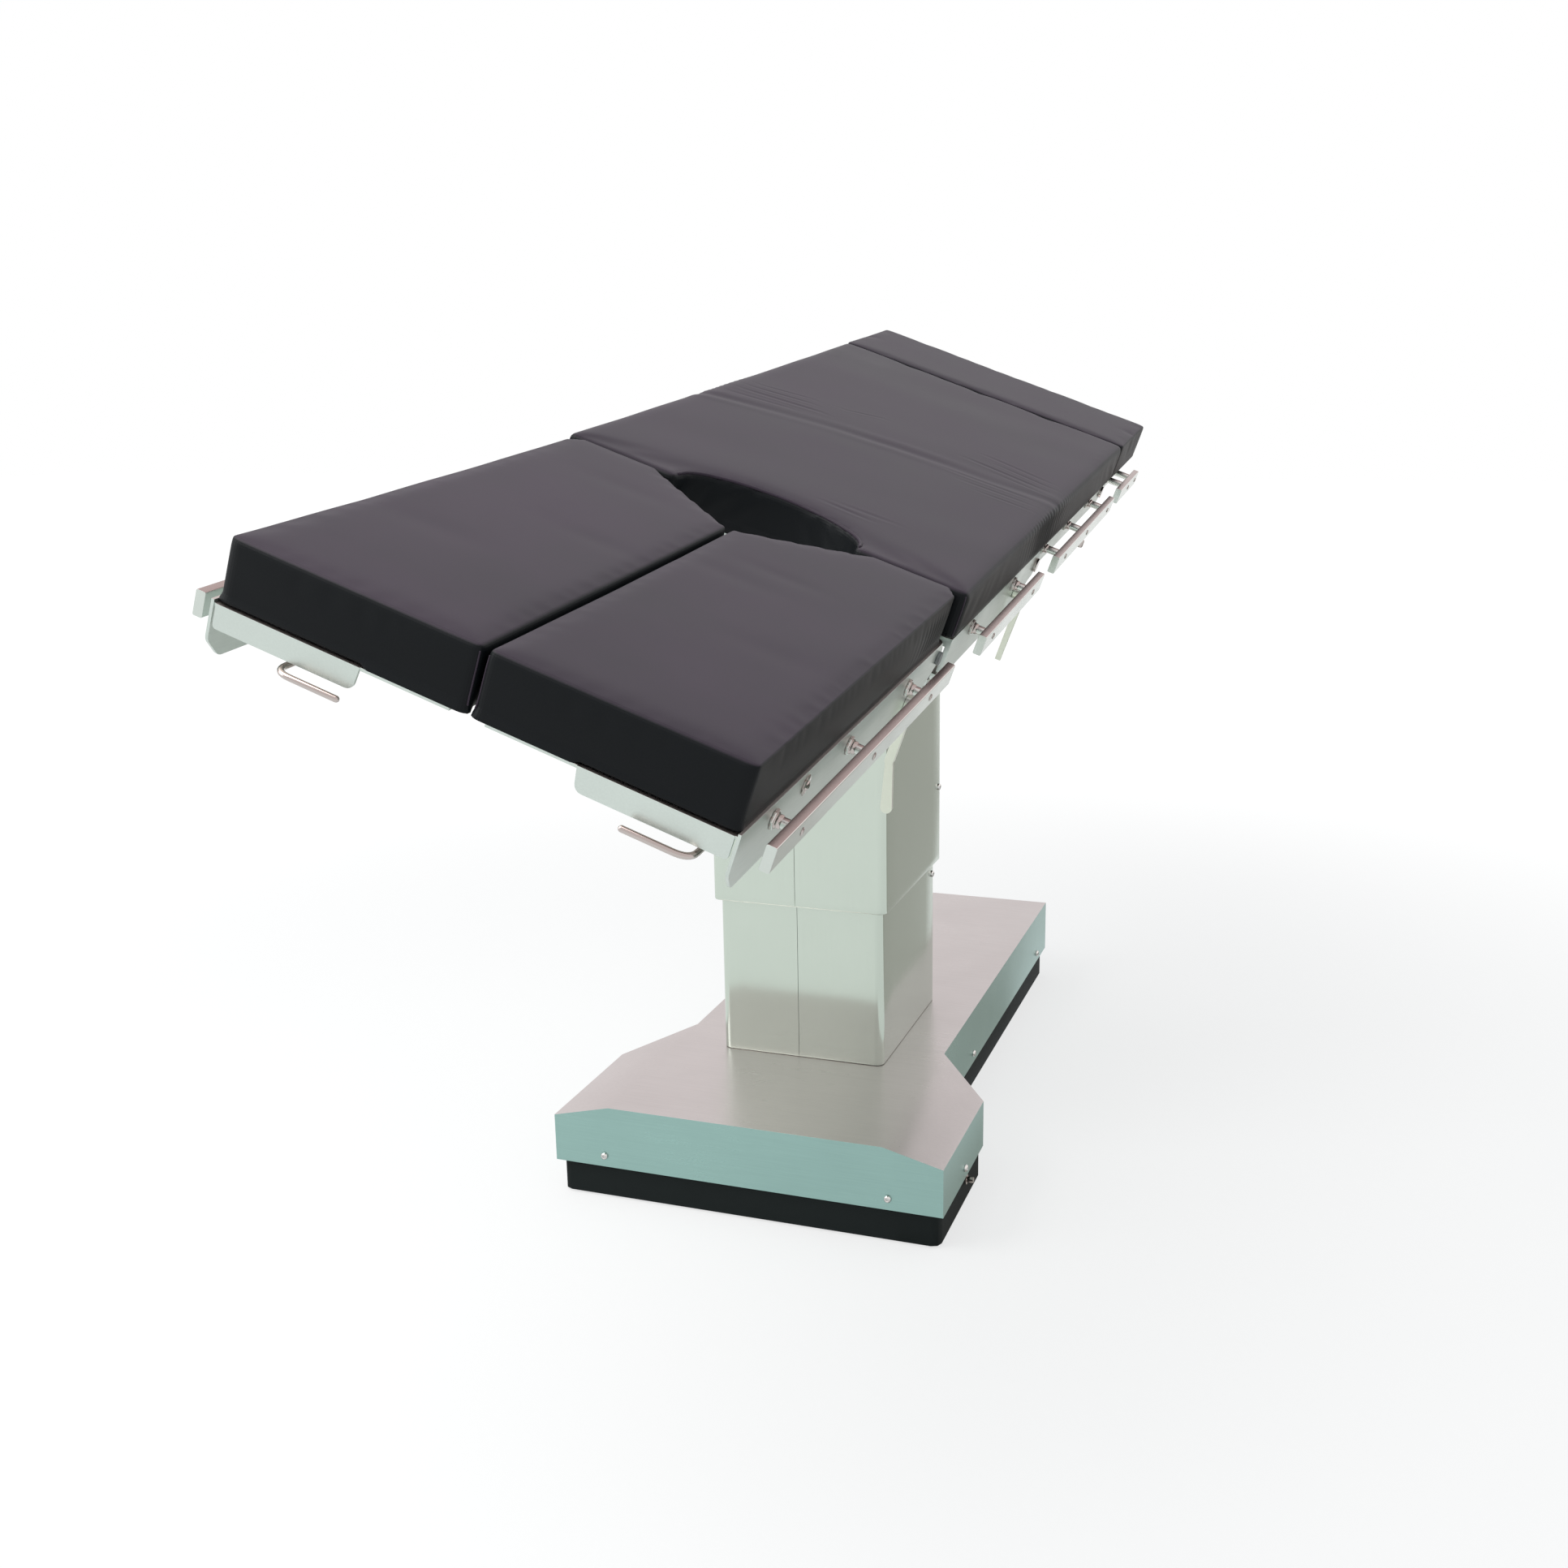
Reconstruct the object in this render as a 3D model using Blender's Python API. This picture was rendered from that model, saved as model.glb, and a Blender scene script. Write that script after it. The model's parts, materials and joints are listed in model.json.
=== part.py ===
"""Operating table with a T-shaped base, a telescoping column and a tilting top in five sections.

The pose is the one in which the table stands: top rolled towards its right side and slightly head-up.
Floor pieces are drawn from the floor point under the column. Table pieces are drawn on a flat, level
top whose zero is the centre of the tilt head, and empties on the joint axes turn them into place.
"""
import math
from math import cos, pi, radians, sin

import bpy
import bmesh
from mathutils import Matrix, Vector

for old in list(bpy.data.objects):
    bpy.data.objects.remove(old, do_unlink=True)

# Clearances and stock
GAP = 0.0003            # between pieces that touch
RUNNING = 0.0005        # radial, round a shaft that turns
SHEET = 0.002           # stainless cover sheet
TRAY = 0.003            # deck trays
DECK = 0.003            # radiolucent deck panels
BAR = 0.008             # hinge bars

# Where the column stands, from the middle of the whole outline on the floor
COLUMN_X = -0.0193
COLUMN_Y = 0.1170

# Base
FRONT = -0.389
REAR = 0.675
WIDE = 0.276            # half width of the front
STEM = 0.194            # half width of the stem
TAPER_START = -0.169
TAPER_END = -0.070
TOP_Z = 0.1365
WING_Z = 0.116          # outer edge of the sloping wings
SKIRT_Z = 0.049
PLINTH_INSET = 0.006
PLINTH_WALL = 0.006
PLINTH_LOW = 0.003
PLINTH_CORNER = 0.012
FRAME_LOW = 0.060
FRAME_THICK = 0.012
FOOT_R = 0.022
FOOT_THICK = 0.014
STUD_R = 0.007
FRONT_FOOT = (WIDE - 0.038, -0.205)
REAR_FOOT = (STEM - 0.034, 0.500)

# Castor carriage
FRONT_CASTOR = (WIDE - 0.081, -0.300)
REAR_CASTOR = (STEM - 0.082, 0.585)
WHEEL_R = 0.0375
WHEEL_WIDE = 0.022
WHEEL_CLEAR = 0.004     # above the floor while the table stands on its feet
TRAIL = 0.018
AXLE_R = 0.004
KINGPIN_R = 0.006
FORK_WALL = 0.003
CARRIAGE_LOW = 0.094
CARRIAGE_THICK = 0.010
CARRIAGE_BAR = 0.030
GUIDE_R = 0.006
GUIDE_Y = (-0.150, 0.400)
GUIDE_TOP = 0.118

# Column
LOWER_X = 0.122         # half sizes of the lower cover
LOWER_Y = 0.143
UPPER_X = 0.130
UPPER_Y = 0.1515
COVER_CORNER = 0.012
SEAM_X = -0.004
LOWER_TOP = 0.465
UPPER_LOW = 0.367
UPPER_TOP = 0.750
MAST = 0.080            # half width of the fixed square tube
MAST_WALL = 0.008
MAST_TOP = 0.465
MAST_FLANGE = 0.095
INNER_WALL = 0.006
INNER_LOW = 0.330
CYLINDER_R = 0.030
ROD_R = 0.016
HEAD_LOW = 0.700
HEAD_THICK = 0.012
PIVOT_Z = 0.8016        # both tilt axes cross here
YOKE_IN = 0.078
YOKE_OUT = 0.090
YOKE_Y = 0.034
TRUNNION_R = 0.012

# Tilt head and its pose
ROLL = radians(20.7)    # right side down
PITCH = radians(5.7)    # head up
LEG_RAISE = radians(1.2)
SHAFT_R = 0.014
SADDLE_X = 0.060
SADDLE_FOOT = -0.086
SADDLE_HEAD = 0.041
SADDLE_Z = 0.030
HANGER = 0.012
HANGER_X = 0.060

# Table top: the pads' underside and the hinge lines
PAD_Z = 0.144
PAD = 0.062
PAD_CORNER = 0.014
PAD_EDGE = 0.008
SEAT_FOOT = -0.4175
BACK_HINGE = (0.0865, 0.120)
HEAD_HINGE = (0.6625, 0.120)
LEG_HINGE = (-0.455, 0.129)
HEAD_END = 0.9105
LEG_FOOT = -1.1005
LEG_HEAD = -0.4445
LEG_SPLIT = 0.005       # half the gap between the leg pads
LEG_WIDE = 0.2485
SWING = (LEG_WIDE - 0.0105, -0.432)
SEAT_WIDE = 0.260
HEAD_WIDE = 0.2585
FOLD = 0.070            # half length of the soft fold over the back hinge
DECK_FOLD = 0.020       # half gap between the panels at the back hinge
HEAD_FOLD = 0.042
ARC_HALF = 0.115        # cut-out at the foot edge of the seat
ARC_DEEP = 0.063
CORNER_CUT_X = 0.135    # inner corners of the leg pads
CORNER_CUT_Y = 0.120
DECK_INSET = 0.012

# Side cheeks, hinges and rails
SEAT_CHEEK_OUT = SEAT_WIDE - 0.0035
SEAT_CHEEK_IN = SEAT_CHEEK_OUT - 0.006
CHEEK_LOW = 0.086
BACK_BAR_OUT = SEAT_WIDE - 0.0105
HEAD_BAR_OUT = HEAD_WIDE - 0.018
HINGE_BAR_LOW = 0.0985
HINGE_R = 0.0205
PIN_R = 0.006
LEG_CHEEK_IN = LEG_WIDE + 0.002
LEG_CHEEK_LOW = 0.088
LEG_CHEEK_TOP = 0.147
LIP_FOOT = -1.1045
LIP_IN = 0.107
LIP_DEEP = 0.023
KNUCKLE_R = 0.011
KNUCKLE_IN = 0.200
BARREL_R = 0.011
EAR_R = BARREL_R + 0.0005
EAR_NECK = 0.0035        # the ear's neck starts this far inside the swing pin
EAR_Y = (-0.410, -0.375)
RAIL_THICK = 0.010
RAIL_DEEP = 0.025
RAIL_TOP = 0.141
LEG_RAIL_X = LEG_WIDE + 0.0325      # outer faces of the accessory rails
TOP_RAIL_X = SEAT_WIDE + 0.026
POST_R = 0.0055
LEG_RAIL = (-1.0875, -0.4895)
LEG_POSTS = (-1.0143, -0.7982, -0.5846)
SEAT_RAIL = (-0.357, -0.012)
SEAT_POSTS = (-0.305, -0.071)
BACK_RAIL = (0.091, 0.567)
BACK_POSTS = (0.1586, 0.3333, 0.5195)
HEAD_RAIL = (0.640, 0.832)
HEAD_POSTS = (0.735, 0.812)
BACK_BEAMS = (0.200, 0.400, 0.600)
HEAD_BEAMS = (0.720, 0.860)

# Release rods and levers
ROD_X = {"left": 0.174, "right": 0.222}
ROD_REACH = 0.065
ROD_Z = 0.115
ROD_BACK = -0.780
ROD_FRONT = -1.118
RELEASE_R = 0.0042
LEVER_AT = (-0.560, 0.104)
HUB_WIDE = 0.010
HUB_LONG = 0.0755
BLADE_LONG = 0.058
LEVER_LEAN = radians(15.5)
CRANK_AT = (-0.030, 0.108)
CRANK_LONG = 0.100


def material(name, colour, roughness, metallic):
    """A Principled material with one colour."""
    made = bpy.data.materials.new(name)
    made.use_nodes = True
    shader = made.node_tree.nodes["Principled BSDF"]
    shader.inputs["Base Color"].default_value = (*colour, 1.0)
    shader.inputs["Roughness"].default_value = roughness
    shader.inputs["Metallic"].default_value = metallic
    return made


STEEL = material("brushed_stainless", (0.62, 0.63, 0.60), 0.32, 1.0)
DARK_STEEL = material("painted_frame_steel", (0.22, 0.24, 0.25), 0.5, 0.2)
CHROME = material("ground_chrome", (0.78, 0.78, 0.78), 0.12, 1.0)
CAST = material("cast_iron_head", (0.30, 0.31, 0.32), 0.55, 0.6)
PADDING = material("pad_cover", (0.055, 0.05, 0.06), 0.55, 0.0)
RUBBER = material("black_rubber", (0.02, 0.025, 0.03), 0.75, 0.0)
PANEL = material("phenolic_panel", (0.16, 0.13, 0.11), 0.5, 0.0)
LEVER_FINISH = material("satin_lever", (0.75, 0.77, 0.70), 0.35, 0.6)
UNIT_PAINT = material("unit_enamel", (0.35, 0.37, 0.40), 0.45, 0.1)


class Frame:
    """An empty on a joint. `origin` is its place in the coordinates that its pieces are drawn in."""

    def __init__(self, name, parent=None, place=(0, 0, 0), turn=(0, 0, 0), origin=None):
        self.origin = Vector(place if origin is None else origin)
        self.empty = bpy.data.objects.new(name, None)
        self.empty.empty_display_size = 0.05
        bpy.context.collection.objects.link(self.empty)
        self.empty.location = place
        self.empty.rotation_euler = turn
        if parent:
            self.empty.parent = parent.empty
            self.empty.location = Vector(place) - parent.origin


def place(name, data, finish, frame):
    """Hangs finished geometry, drawn in its frame's drawing coordinates, on the frame."""
    data.transform(Matrix.Translation(-frame.origin))
    piece = bpy.data.objects.new(name, data)
    bpy.context.collection.objects.link(piece)
    piece.parent = frame.empty
    data.materials.clear()
    data.materials.append(finish)
    if isinstance(data, bpy.types.Mesh):
        data.shade_smooth()
        data.set_sharp_from_angle(angle=radians(35))
    return piece


def to_mesh(bm):
    """Closes a bmesh into a mesh with its faces pointing outwards."""
    bmesh.ops.recalc_face_normals(bm, faces=bm.faces)
    mesh = bpy.data.meshes.new("shape")
    bm.to_mesh(mesh)
    bm.free()
    return mesh


AXES = {"X": (1, 2, 0), "Y": (0, 2, 1), "Z": (0, 1, 2)}


def prism(outline, low, high, axis="Z"):
    """A flat outline carried along an axis. Its two numbers are the other two axes in XYZ order."""
    first, second, along = AXES[axis]
    bm = bmesh.new()
    ring = []
    for a, b in outline:
        corner = [0.0, 0.0, 0.0]
        corner[first], corner[second], corner[along] = a, b, low
        ring.append(bm.verts.new(corner))
    face = bm.faces.new(ring)
    swept = bmesh.ops.extrude_face_region(bm, geom=[face])
    shift = Vector((0, 0, 0))
    shift[along] = high - low
    moved = [item for item in swept["geom"] if isinstance(item, bmesh.types.BMVert)]
    bmesh.ops.translate(bm, verts=moved, vec=shift)
    return to_mesh(bm)


def box(x, y, z):
    """A block between two values on each axis."""
    return prism([(x[0], y[0]), (x[1], y[0]), (x[1], y[1]), (x[0], y[1])], z[0], z[1])


def arc(centre, radius, start, end, steps):
    """Points on an arc, angles in radians."""
    turns = [start + (end - start) * i / steps for i in range(steps + 1)]
    return [(centre[0] + radius * cos(t), centre[1] + radius * sin(t)) for t in turns]


def cylinder(centre, radius, low, high, axis="Z", sides=20):
    """A round bar. `centre` is given on the other two axes in XYZ order."""
    return prism(arc(centre, radius, 0, 2 * pi, sides)[:-1], low, high, axis)


def rounded(corners, radius, steps=4):
    """An outline with each corner replaced by an arc. `radius` is one value or one for each corner."""
    count = len(corners)
    radii = radius if isinstance(radius, (list, tuple)) else [radius] * count
    outline = []
    for i, corner in enumerate(corners):
        here = Vector(corner)
        back = (Vector(corners[i - 1]) - here).normalized()
        ahead = (Vector(corners[(i + 1) % count]) - here).normalized()
        half = back.angle(ahead) / 2
        if radii[i] <= 0:
            outline.append(corner)
            continue
        reach = radii[i] / math.tan(half)
        centre = here + (back + ahead).normalized() * radii[i] / sin(half)
        start, end = here + back * reach - centre, here + ahead * reach - centre
        first = math.atan2(start.y, start.x)
        sweep = math.remainder(math.atan2(end.y, end.x) - first, 2 * pi)
        outline += arc(centre, radii[i], first, first + sweep, steps)
    return outline


def rectangle(x, y):
    """The corners of a rectangle between two values on each axis."""
    return [(x[0], y[0]), (x[1], y[0]), (x[1], y[1]), (x[0], y[1])]


def inset(corners, distance):
    """A closed outline, drawn anticlockwise, with each side moved inwards."""
    count = len(corners)
    outline = []
    for i in range(count):
        before, here, after = (Vector(corners[j % count]) for j in (i - 1, i, i + 1))
        left = (here - before).normalized()
        right = (after - here).normalized()
        inward_a = Vector((-left.y, left.x))
        inward_b = Vector((-right.y, right.x))
        mitre = (inward_a + inward_b) / (1 + inward_a.dot(inward_b))
        outline.append(tuple(here + mitre * distance))
    return outline


def mirrored(mesh):
    """The same shape on the other side of the table."""
    copy = mesh.copy()
    copy.transform(Matrix.Scale(-1, 4, (1, 0, 0)))
    copy.flip_normals()
    return copy


def combine(first, others, operation):
    """Unites shapes with the first, or cuts them from it."""
    target = bpy.data.objects.new("work", first)
    bpy.context.collection.objects.link(target)
    tools = []
    for other in others:
        tool = bpy.data.objects.new("tool", other)
        bpy.context.collection.objects.link(tool)
        tool.hide_render = True
        tool.display_type = "WIRE"
        step = target.modifiers.new("step", "BOOLEAN")
        step.operation = operation
        step.solver = "EXACT"
        step.object = tool
        tools.append(tool)
    graph = bpy.context.evaluated_depsgraph_get()
    result = bpy.data.meshes.new_from_object(target.evaluated_get(graph))
    for used in [target, *tools]:
        bpy.data.objects.remove(used, do_unlink=True)
    return result


def unite(*shapes):
    return combine(shapes[0], shapes[1:], "UNION")


def cut(shape, *cutters):
    return combine(shape, cutters, "DIFFERENCE")


def turned(profile, centre, sides=20):
    """A closed (radius, height) outline turned about the upright line through `centre`."""
    bm = bmesh.new()
    rings = []
    for i in range(sides):
        t = 2 * pi * i / sides
        rings.append([bm.verts.new((centre[0] + r * cos(t), centre[1] + r * sin(t), z)) for r, z in profile])
    count = len(profile)
    for i in range(sides):
        for j in range(count):
            here, there = rings[i], rings[(i + 1) % sides]
            bm.faces.new((here[j], there[j], there[(j + 1) % count], here[(j + 1) % count]))
    return to_mesh(bm)


def four(point):
    """The four mirrored places of a front or rear point, left and right."""
    return [(-point[0], point[1]), (point[0], point[1])]


def side_mesh(mesh, side):
    """A shape drawn for the right side, or its mirror image."""
    return mesh if side > 0 else mirrored(mesh)


SIDES = (("left", -1), ("right", 1))


# Frames on the joint axes
floor = Frame("floor_point", place=(COLUMN_X, COLUMN_Y, 0), origin=(0, 0, 0))
lift = Frame("lift_slide", floor, place=(0, 0, PIVOT_Z))
pitch = Frame("pitch_axis", lift, place=(0, 0, PIVOT_Z), turn=(PITCH, 0, 0), origin=(0, 0, 0))
roll = Frame("roll_axis", pitch, turn=(0, ROLL, 0))
back = Frame("back_axis", roll, place=(0, *BACK_HINGE))
head = Frame("head_axis", back, place=(0, *HEAD_HINGE))


BASE_PLAN = [(-WIDE, FRONT), (WIDE, FRONT), (WIDE, TAPER_START), (STEM, TAPER_END),
             (STEM, REAR), (-STEM, REAR), (-STEM, TAPER_END), (-WIDE, TAPER_START)]


def cover_block(wall, low):
    """The base cover's outer form, or its hollow when `wall` is taken off all round."""
    plan = prism(inset(BASE_PLAN, wall), low, TOP_Z + 0.01)
    section = [(-WIDE, low - 0.01), (WIDE, low - 0.01), (WIDE, WING_Z - wall), (STEM, TOP_Z - wall),
               (-STEM, TOP_Z - wall), (-WIDE, WING_Z - wall)]
    return combine(plan, [prism(section, FRONT - 0.01, REAR + 0.01, "Y")], "INTERSECT")


def make_base():
    """The covers and the welded frame that stand on the floor."""
    opening = MAST + 0.020
    hollow = cover_block(SHEET, SKIRT_Z - 0.02)
    hole = prism(rounded(rectangle((-opening, opening), (-opening, opening)), 0.01), 0.1, 0.2)
    shell = cut(cover_block(0, SKIRT_Z), hollow, hole)
    place("base_cover", unite(shell, *skirt_screws()), STEEL, floor)

    corner = [PLINTH_CORNER, PLINTH_CORNER, 0, 0, PLINTH_CORNER, PLINTH_CORNER, 0, 0]
    inner = inset(BASE_PLAN, PLINTH_INSET + PLINTH_WALL)
    high = FRAME_LOW + FRAME_THICK / 2
    lower = prism(rounded(inset(BASE_PLAN, PLINTH_INSET), corner, 2), PLINTH_LOW, high)
    lip = prism(inset(BASE_PLAN, SHEET + GAP), SKIRT_Z + GAP, high)
    place("base_plinth", cut(unite(lower, lip), prism(inner, 0, 0.1)), RUBBER, floor)

    top = FRAME_LOW + FRAME_THICK
    plate = prism(inset(BASE_PLAN, PLINTH_INSET + PLINTH_WALL + GAP), FRAME_LOW, top)
    wells = []
    for spot in four(FRONT_CASTOR) + four(REAR_CASTOR):
        wells.append(cylinder(spot, TRAIL + WHEEL_R + 0.004, 0, 0.2, sides=24))
    guides = []
    for y in GUIDE_Y:
        for x in (-REAR_CASTOR[0], REAR_CASTOR[0]):
            guides.append(cylinder((x, y), GUIDE_R, top - 0.002, GUIDE_TOP, sides=12))
    ribs = [box((-0.160, 0.160), (y - 0.006, y + 0.006), (0.025, FRAME_LOW + 0.002)) for y in (-0.12, 0.12, 0.42)]
    place("base_frame", unite(cut(plate, *wells), *guides, *ribs), DARK_STEEL, floor)

    profile = [(0.0, 0.0), (FOOT_R - 0.003, 0.0), (FOOT_R, 0.004), (FOOT_R - 0.004, FOOT_THICK),
               (STUD_R, FOOT_THICK), (STUD_R, FRAME_LOW - GAP), (0.0, FRAME_LOW - GAP)]
    for end, spot in (("front", FRONT_FOOT), ("rear", REAR_FOOT)):
        for word, side in SIDES:
            place(f"base_foot_{end}_{word}", foot(profile, (side * spot[0], spot[1])), RUBBER, floor)


def foot(profile, spot, sides=16):
    """A turned solid with its axis inside: the first and last profile points lie on the axis."""
    bm = bmesh.new()
    low = bm.verts.new((spot[0], spot[1], profile[0][1]))
    high = bm.verts.new((spot[0], spot[1], profile[-1][1]))
    rings = []
    for i in range(sides):
        t = 2 * pi * i / sides
        ring = [bm.verts.new((spot[0] + r * cos(t), spot[1] + r * sin(t), z)) for r, z in profile[1:-1]]
        rings.append(ring)
    for i in range(sides):
        here, there = rings[i], rings[(i + 1) % sides]
        bm.faces.new((low, there[0], here[0]))
        bm.faces.new((high, here[-1], there[-1]))
        for j in range(len(here) - 1):
            bm.faces.new((here[j], there[j], there[j + 1], here[j + 1]))
    return to_mesh(bm)


def skirt_screws():
    """Button heads that stand on the skirt, sunk into it by half a millimetre."""
    height, rise, reach, sunk = 0.065, 0.0022, 0.0045, 0.0005
    heads = []
    for x in (-0.202, 0.202):
        heads.append(cylinder((x, height), reach, FRONT - rise, FRONT + sunk, "Y", 12))
    for x in (-0.140, 0.140):
        heads.append(cylinder((x, height), reach, REAR - sunk, REAR + rise, "Y", 12))
    for edge, y in ((WIDE, -0.274), (STEM, 0.110), (STEM, 0.594)):
        for side in (-1, 1):
            head = cylinder((y, height), reach, edge - sunk, edge + rise, "X", 12)
            heads.append(side_mesh(head, side))
    return heads


def make_earth_stud():
    """The round earthing stud on the plinth beside the right front corner."""
    start = WIDE - PLINTH_INSET + GAP
    spot = (-0.251, 0.037)
    stem = cylinder(spot, 0.004, start, start + 0.012, "X", 16)
    flange = cylinder(spot, 0.007, start, start + 0.003, "X", 16)
    place("earth_stud", unite(flange, stem), CHROME, floor)


def make_drive():
    """The power unit on the frame inside the stem."""
    top = FRAME_LOW + FRAME_THICK + GAP
    motor = cylinder((0.030, top + 0.027), 0.024, 0.130, 0.300, "Y", 28)
    cradle = box((0.008, 0.052), (0.150, 0.280), (top, top + 0.010))
    tank = prism(rounded(rectangle((-0.082, -0.010), (0.130, 0.290)), 0.008), top, top + 0.050)
    block = box((-0.012, 0.058), (0.285, 0.335), (top, top + 0.046))
    place("hydraulic_power_unit", unite(motor, cradle, block, tank), UNIT_PAINT, floor)


def make_carriage():
    """The lowering frame and its four castors, each with a swivel axis and an axle."""
    low, high = CARRIAGE_LOW, CARRIAGE_LOW + CARRIAGE_THICK
    half = CARRIAGE_BAR / 2
    slide = Frame("carriage_slide", floor, place=(0, 0, low))
    front = box((-FRONT_CASTOR[0] - half, FRONT_CASTOR[0] + half),
                (FRONT_CASTOR[1] - half, FRONT_CASTOR[1] + half), (low, high))
    rear = box((-REAR_CASTOR[0] - half, REAR_CASTOR[0] + half),
               (REAR_CASTOR[1] - half, REAR_CASTOR[1] + half), (low, high))
    rails = []
    for side in (-1, 1):
        x = side * REAR_CASTOR[0]
        rails.append(box((x - half, x + half), (FRONT_CASTOR[1], REAR_CASTOR[1]), (low, high)))
    bores = []
    for spot in four(FRONT_CASTOR) + four(REAR_CASTOR):
        bores.append(cylinder(spot, KINGPIN_R + RUNNING, 0, 0.2, sides=12))
    for y in GUIDE_Y:
        for x in (-REAR_CASTOR[0], REAR_CASTOR[0]):
            bores.append(cylinder((x, y), GUIDE_R + RUNNING, 0, 0.2, sides=12))
    place("castor_carriage", cut(unite(front, rear, *rails), *bores), DARK_STEEL, slide)

    for end, spot in (("front", FRONT_CASTOR), ("rear", REAR_CASTOR)):
        for word, side in SIDES:
            make_castor(f"{end}_{word}", (side * spot[0], spot[1]), slide)


def make_castor(word, spot, slide):
    """One castor: a fork on its kingpin, trailing towards the head end, and a wheel on its axle."""
    low = CARRIAGE_LOW - GAP
    axle_y, axle_z = spot[1] + TRAIL, WHEEL_CLEAR + WHEEL_R
    swivel = Frame(f"castor_swivel_{word}", slide, place=(*spot, low))
    inside = WHEEL_WIDE / 2 + 0.0015
    outside = inside + FORK_WALL
    crown = cylinder(spot, outside + 0.006, low - 0.005, low, sides=20)
    pin = cylinder(spot, KINGPIN_R, low - 0.001, CARRIAGE_LOW + CARRIAGE_THICK + 0.004, sides=20)
    leg = [(spot[1] - 0.012, low - 0.004), (axle_y - 0.008, axle_z), (axle_y - 0.004, axle_z - 0.008),
           (axle_y + 0.004, axle_z - 0.008), (axle_y + 0.008, axle_z), (spot[1] + 0.014, low - 0.004)]
    legs = []
    for side in (-1, 1):
        near, far = spot[0] + side * inside, spot[0] + side * outside
        legs.append(prism(leg, min(near, far), max(near, far), "X"))
    axle = cylinder((axle_y, axle_z), AXLE_R, spot[0] - outside - 0.001, spot[0] + outside + 0.001, "X", 16)
    place(f"castor_fork_{word}", unite(crown, pin, *legs, axle), DARK_STEEL, swivel)

    spin = Frame(f"castor_axle_{word}", swivel, place=(spot[0], axle_y, axle_z))
    half = WHEEL_WIDE / 2
    bore = AXLE_R + RUNNING
    tread = [(bore, -half), (0.012, -half), (0.024, -half + 0.003), (WHEEL_R - 0.004, -half),
             (WHEEL_R, -half + 0.005), (WHEEL_R, half - 0.005), (WHEEL_R - 0.004, half),
             (0.024, half - 0.003), (0.012, half), (bore, half)]
    wheel = turned(tread, (0, 0))
    wheel.transform(Matrix.Translation((spot[0], axle_y, axle_z)) @ Matrix.Rotation(pi / 2, 4, "Y"))
    place(f"castor_wheel_{word}", wheel, RUBBER, spin)


def square_tube(half, wall, low, high, corner=0.006):
    """An upright square tube."""
    outside = prism(rounded(rectangle((-half, half), (-half, half)), corner), low, high)
    inner = half - wall
    return cut(outside, prism(rectangle((-inner, inner), (-inner, inner)), low - 0.01, high + 0.01))


def column_cover(half_x, half_y, low, high, side):
    """One of two U-shaped sheets that meet in a seam at the front and the back of the column."""
    whole = prism(rounded(rectangle((-half_x, half_x), (-half_y, half_y)), COVER_CORNER, 5), low, high)
    inner_x, inner_y = half_x - SHEET, half_y - SHEET
    core = rounded(rectangle((-inner_x, inner_x), (-inner_y, inner_y)), COVER_CORNER - SHEET, 5)
    reach = half_x + 0.01
    seam = SEAM_X + side * GAP
    away = (-reach, seam) if side > 0 else (seam, reach)
    other = box(away, (-half_y - 0.01, half_y + 0.01), (low - 0.01, high + 0.01))
    return cut(whole, prism(core, low - 0.01, high + 0.01), other)


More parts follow.
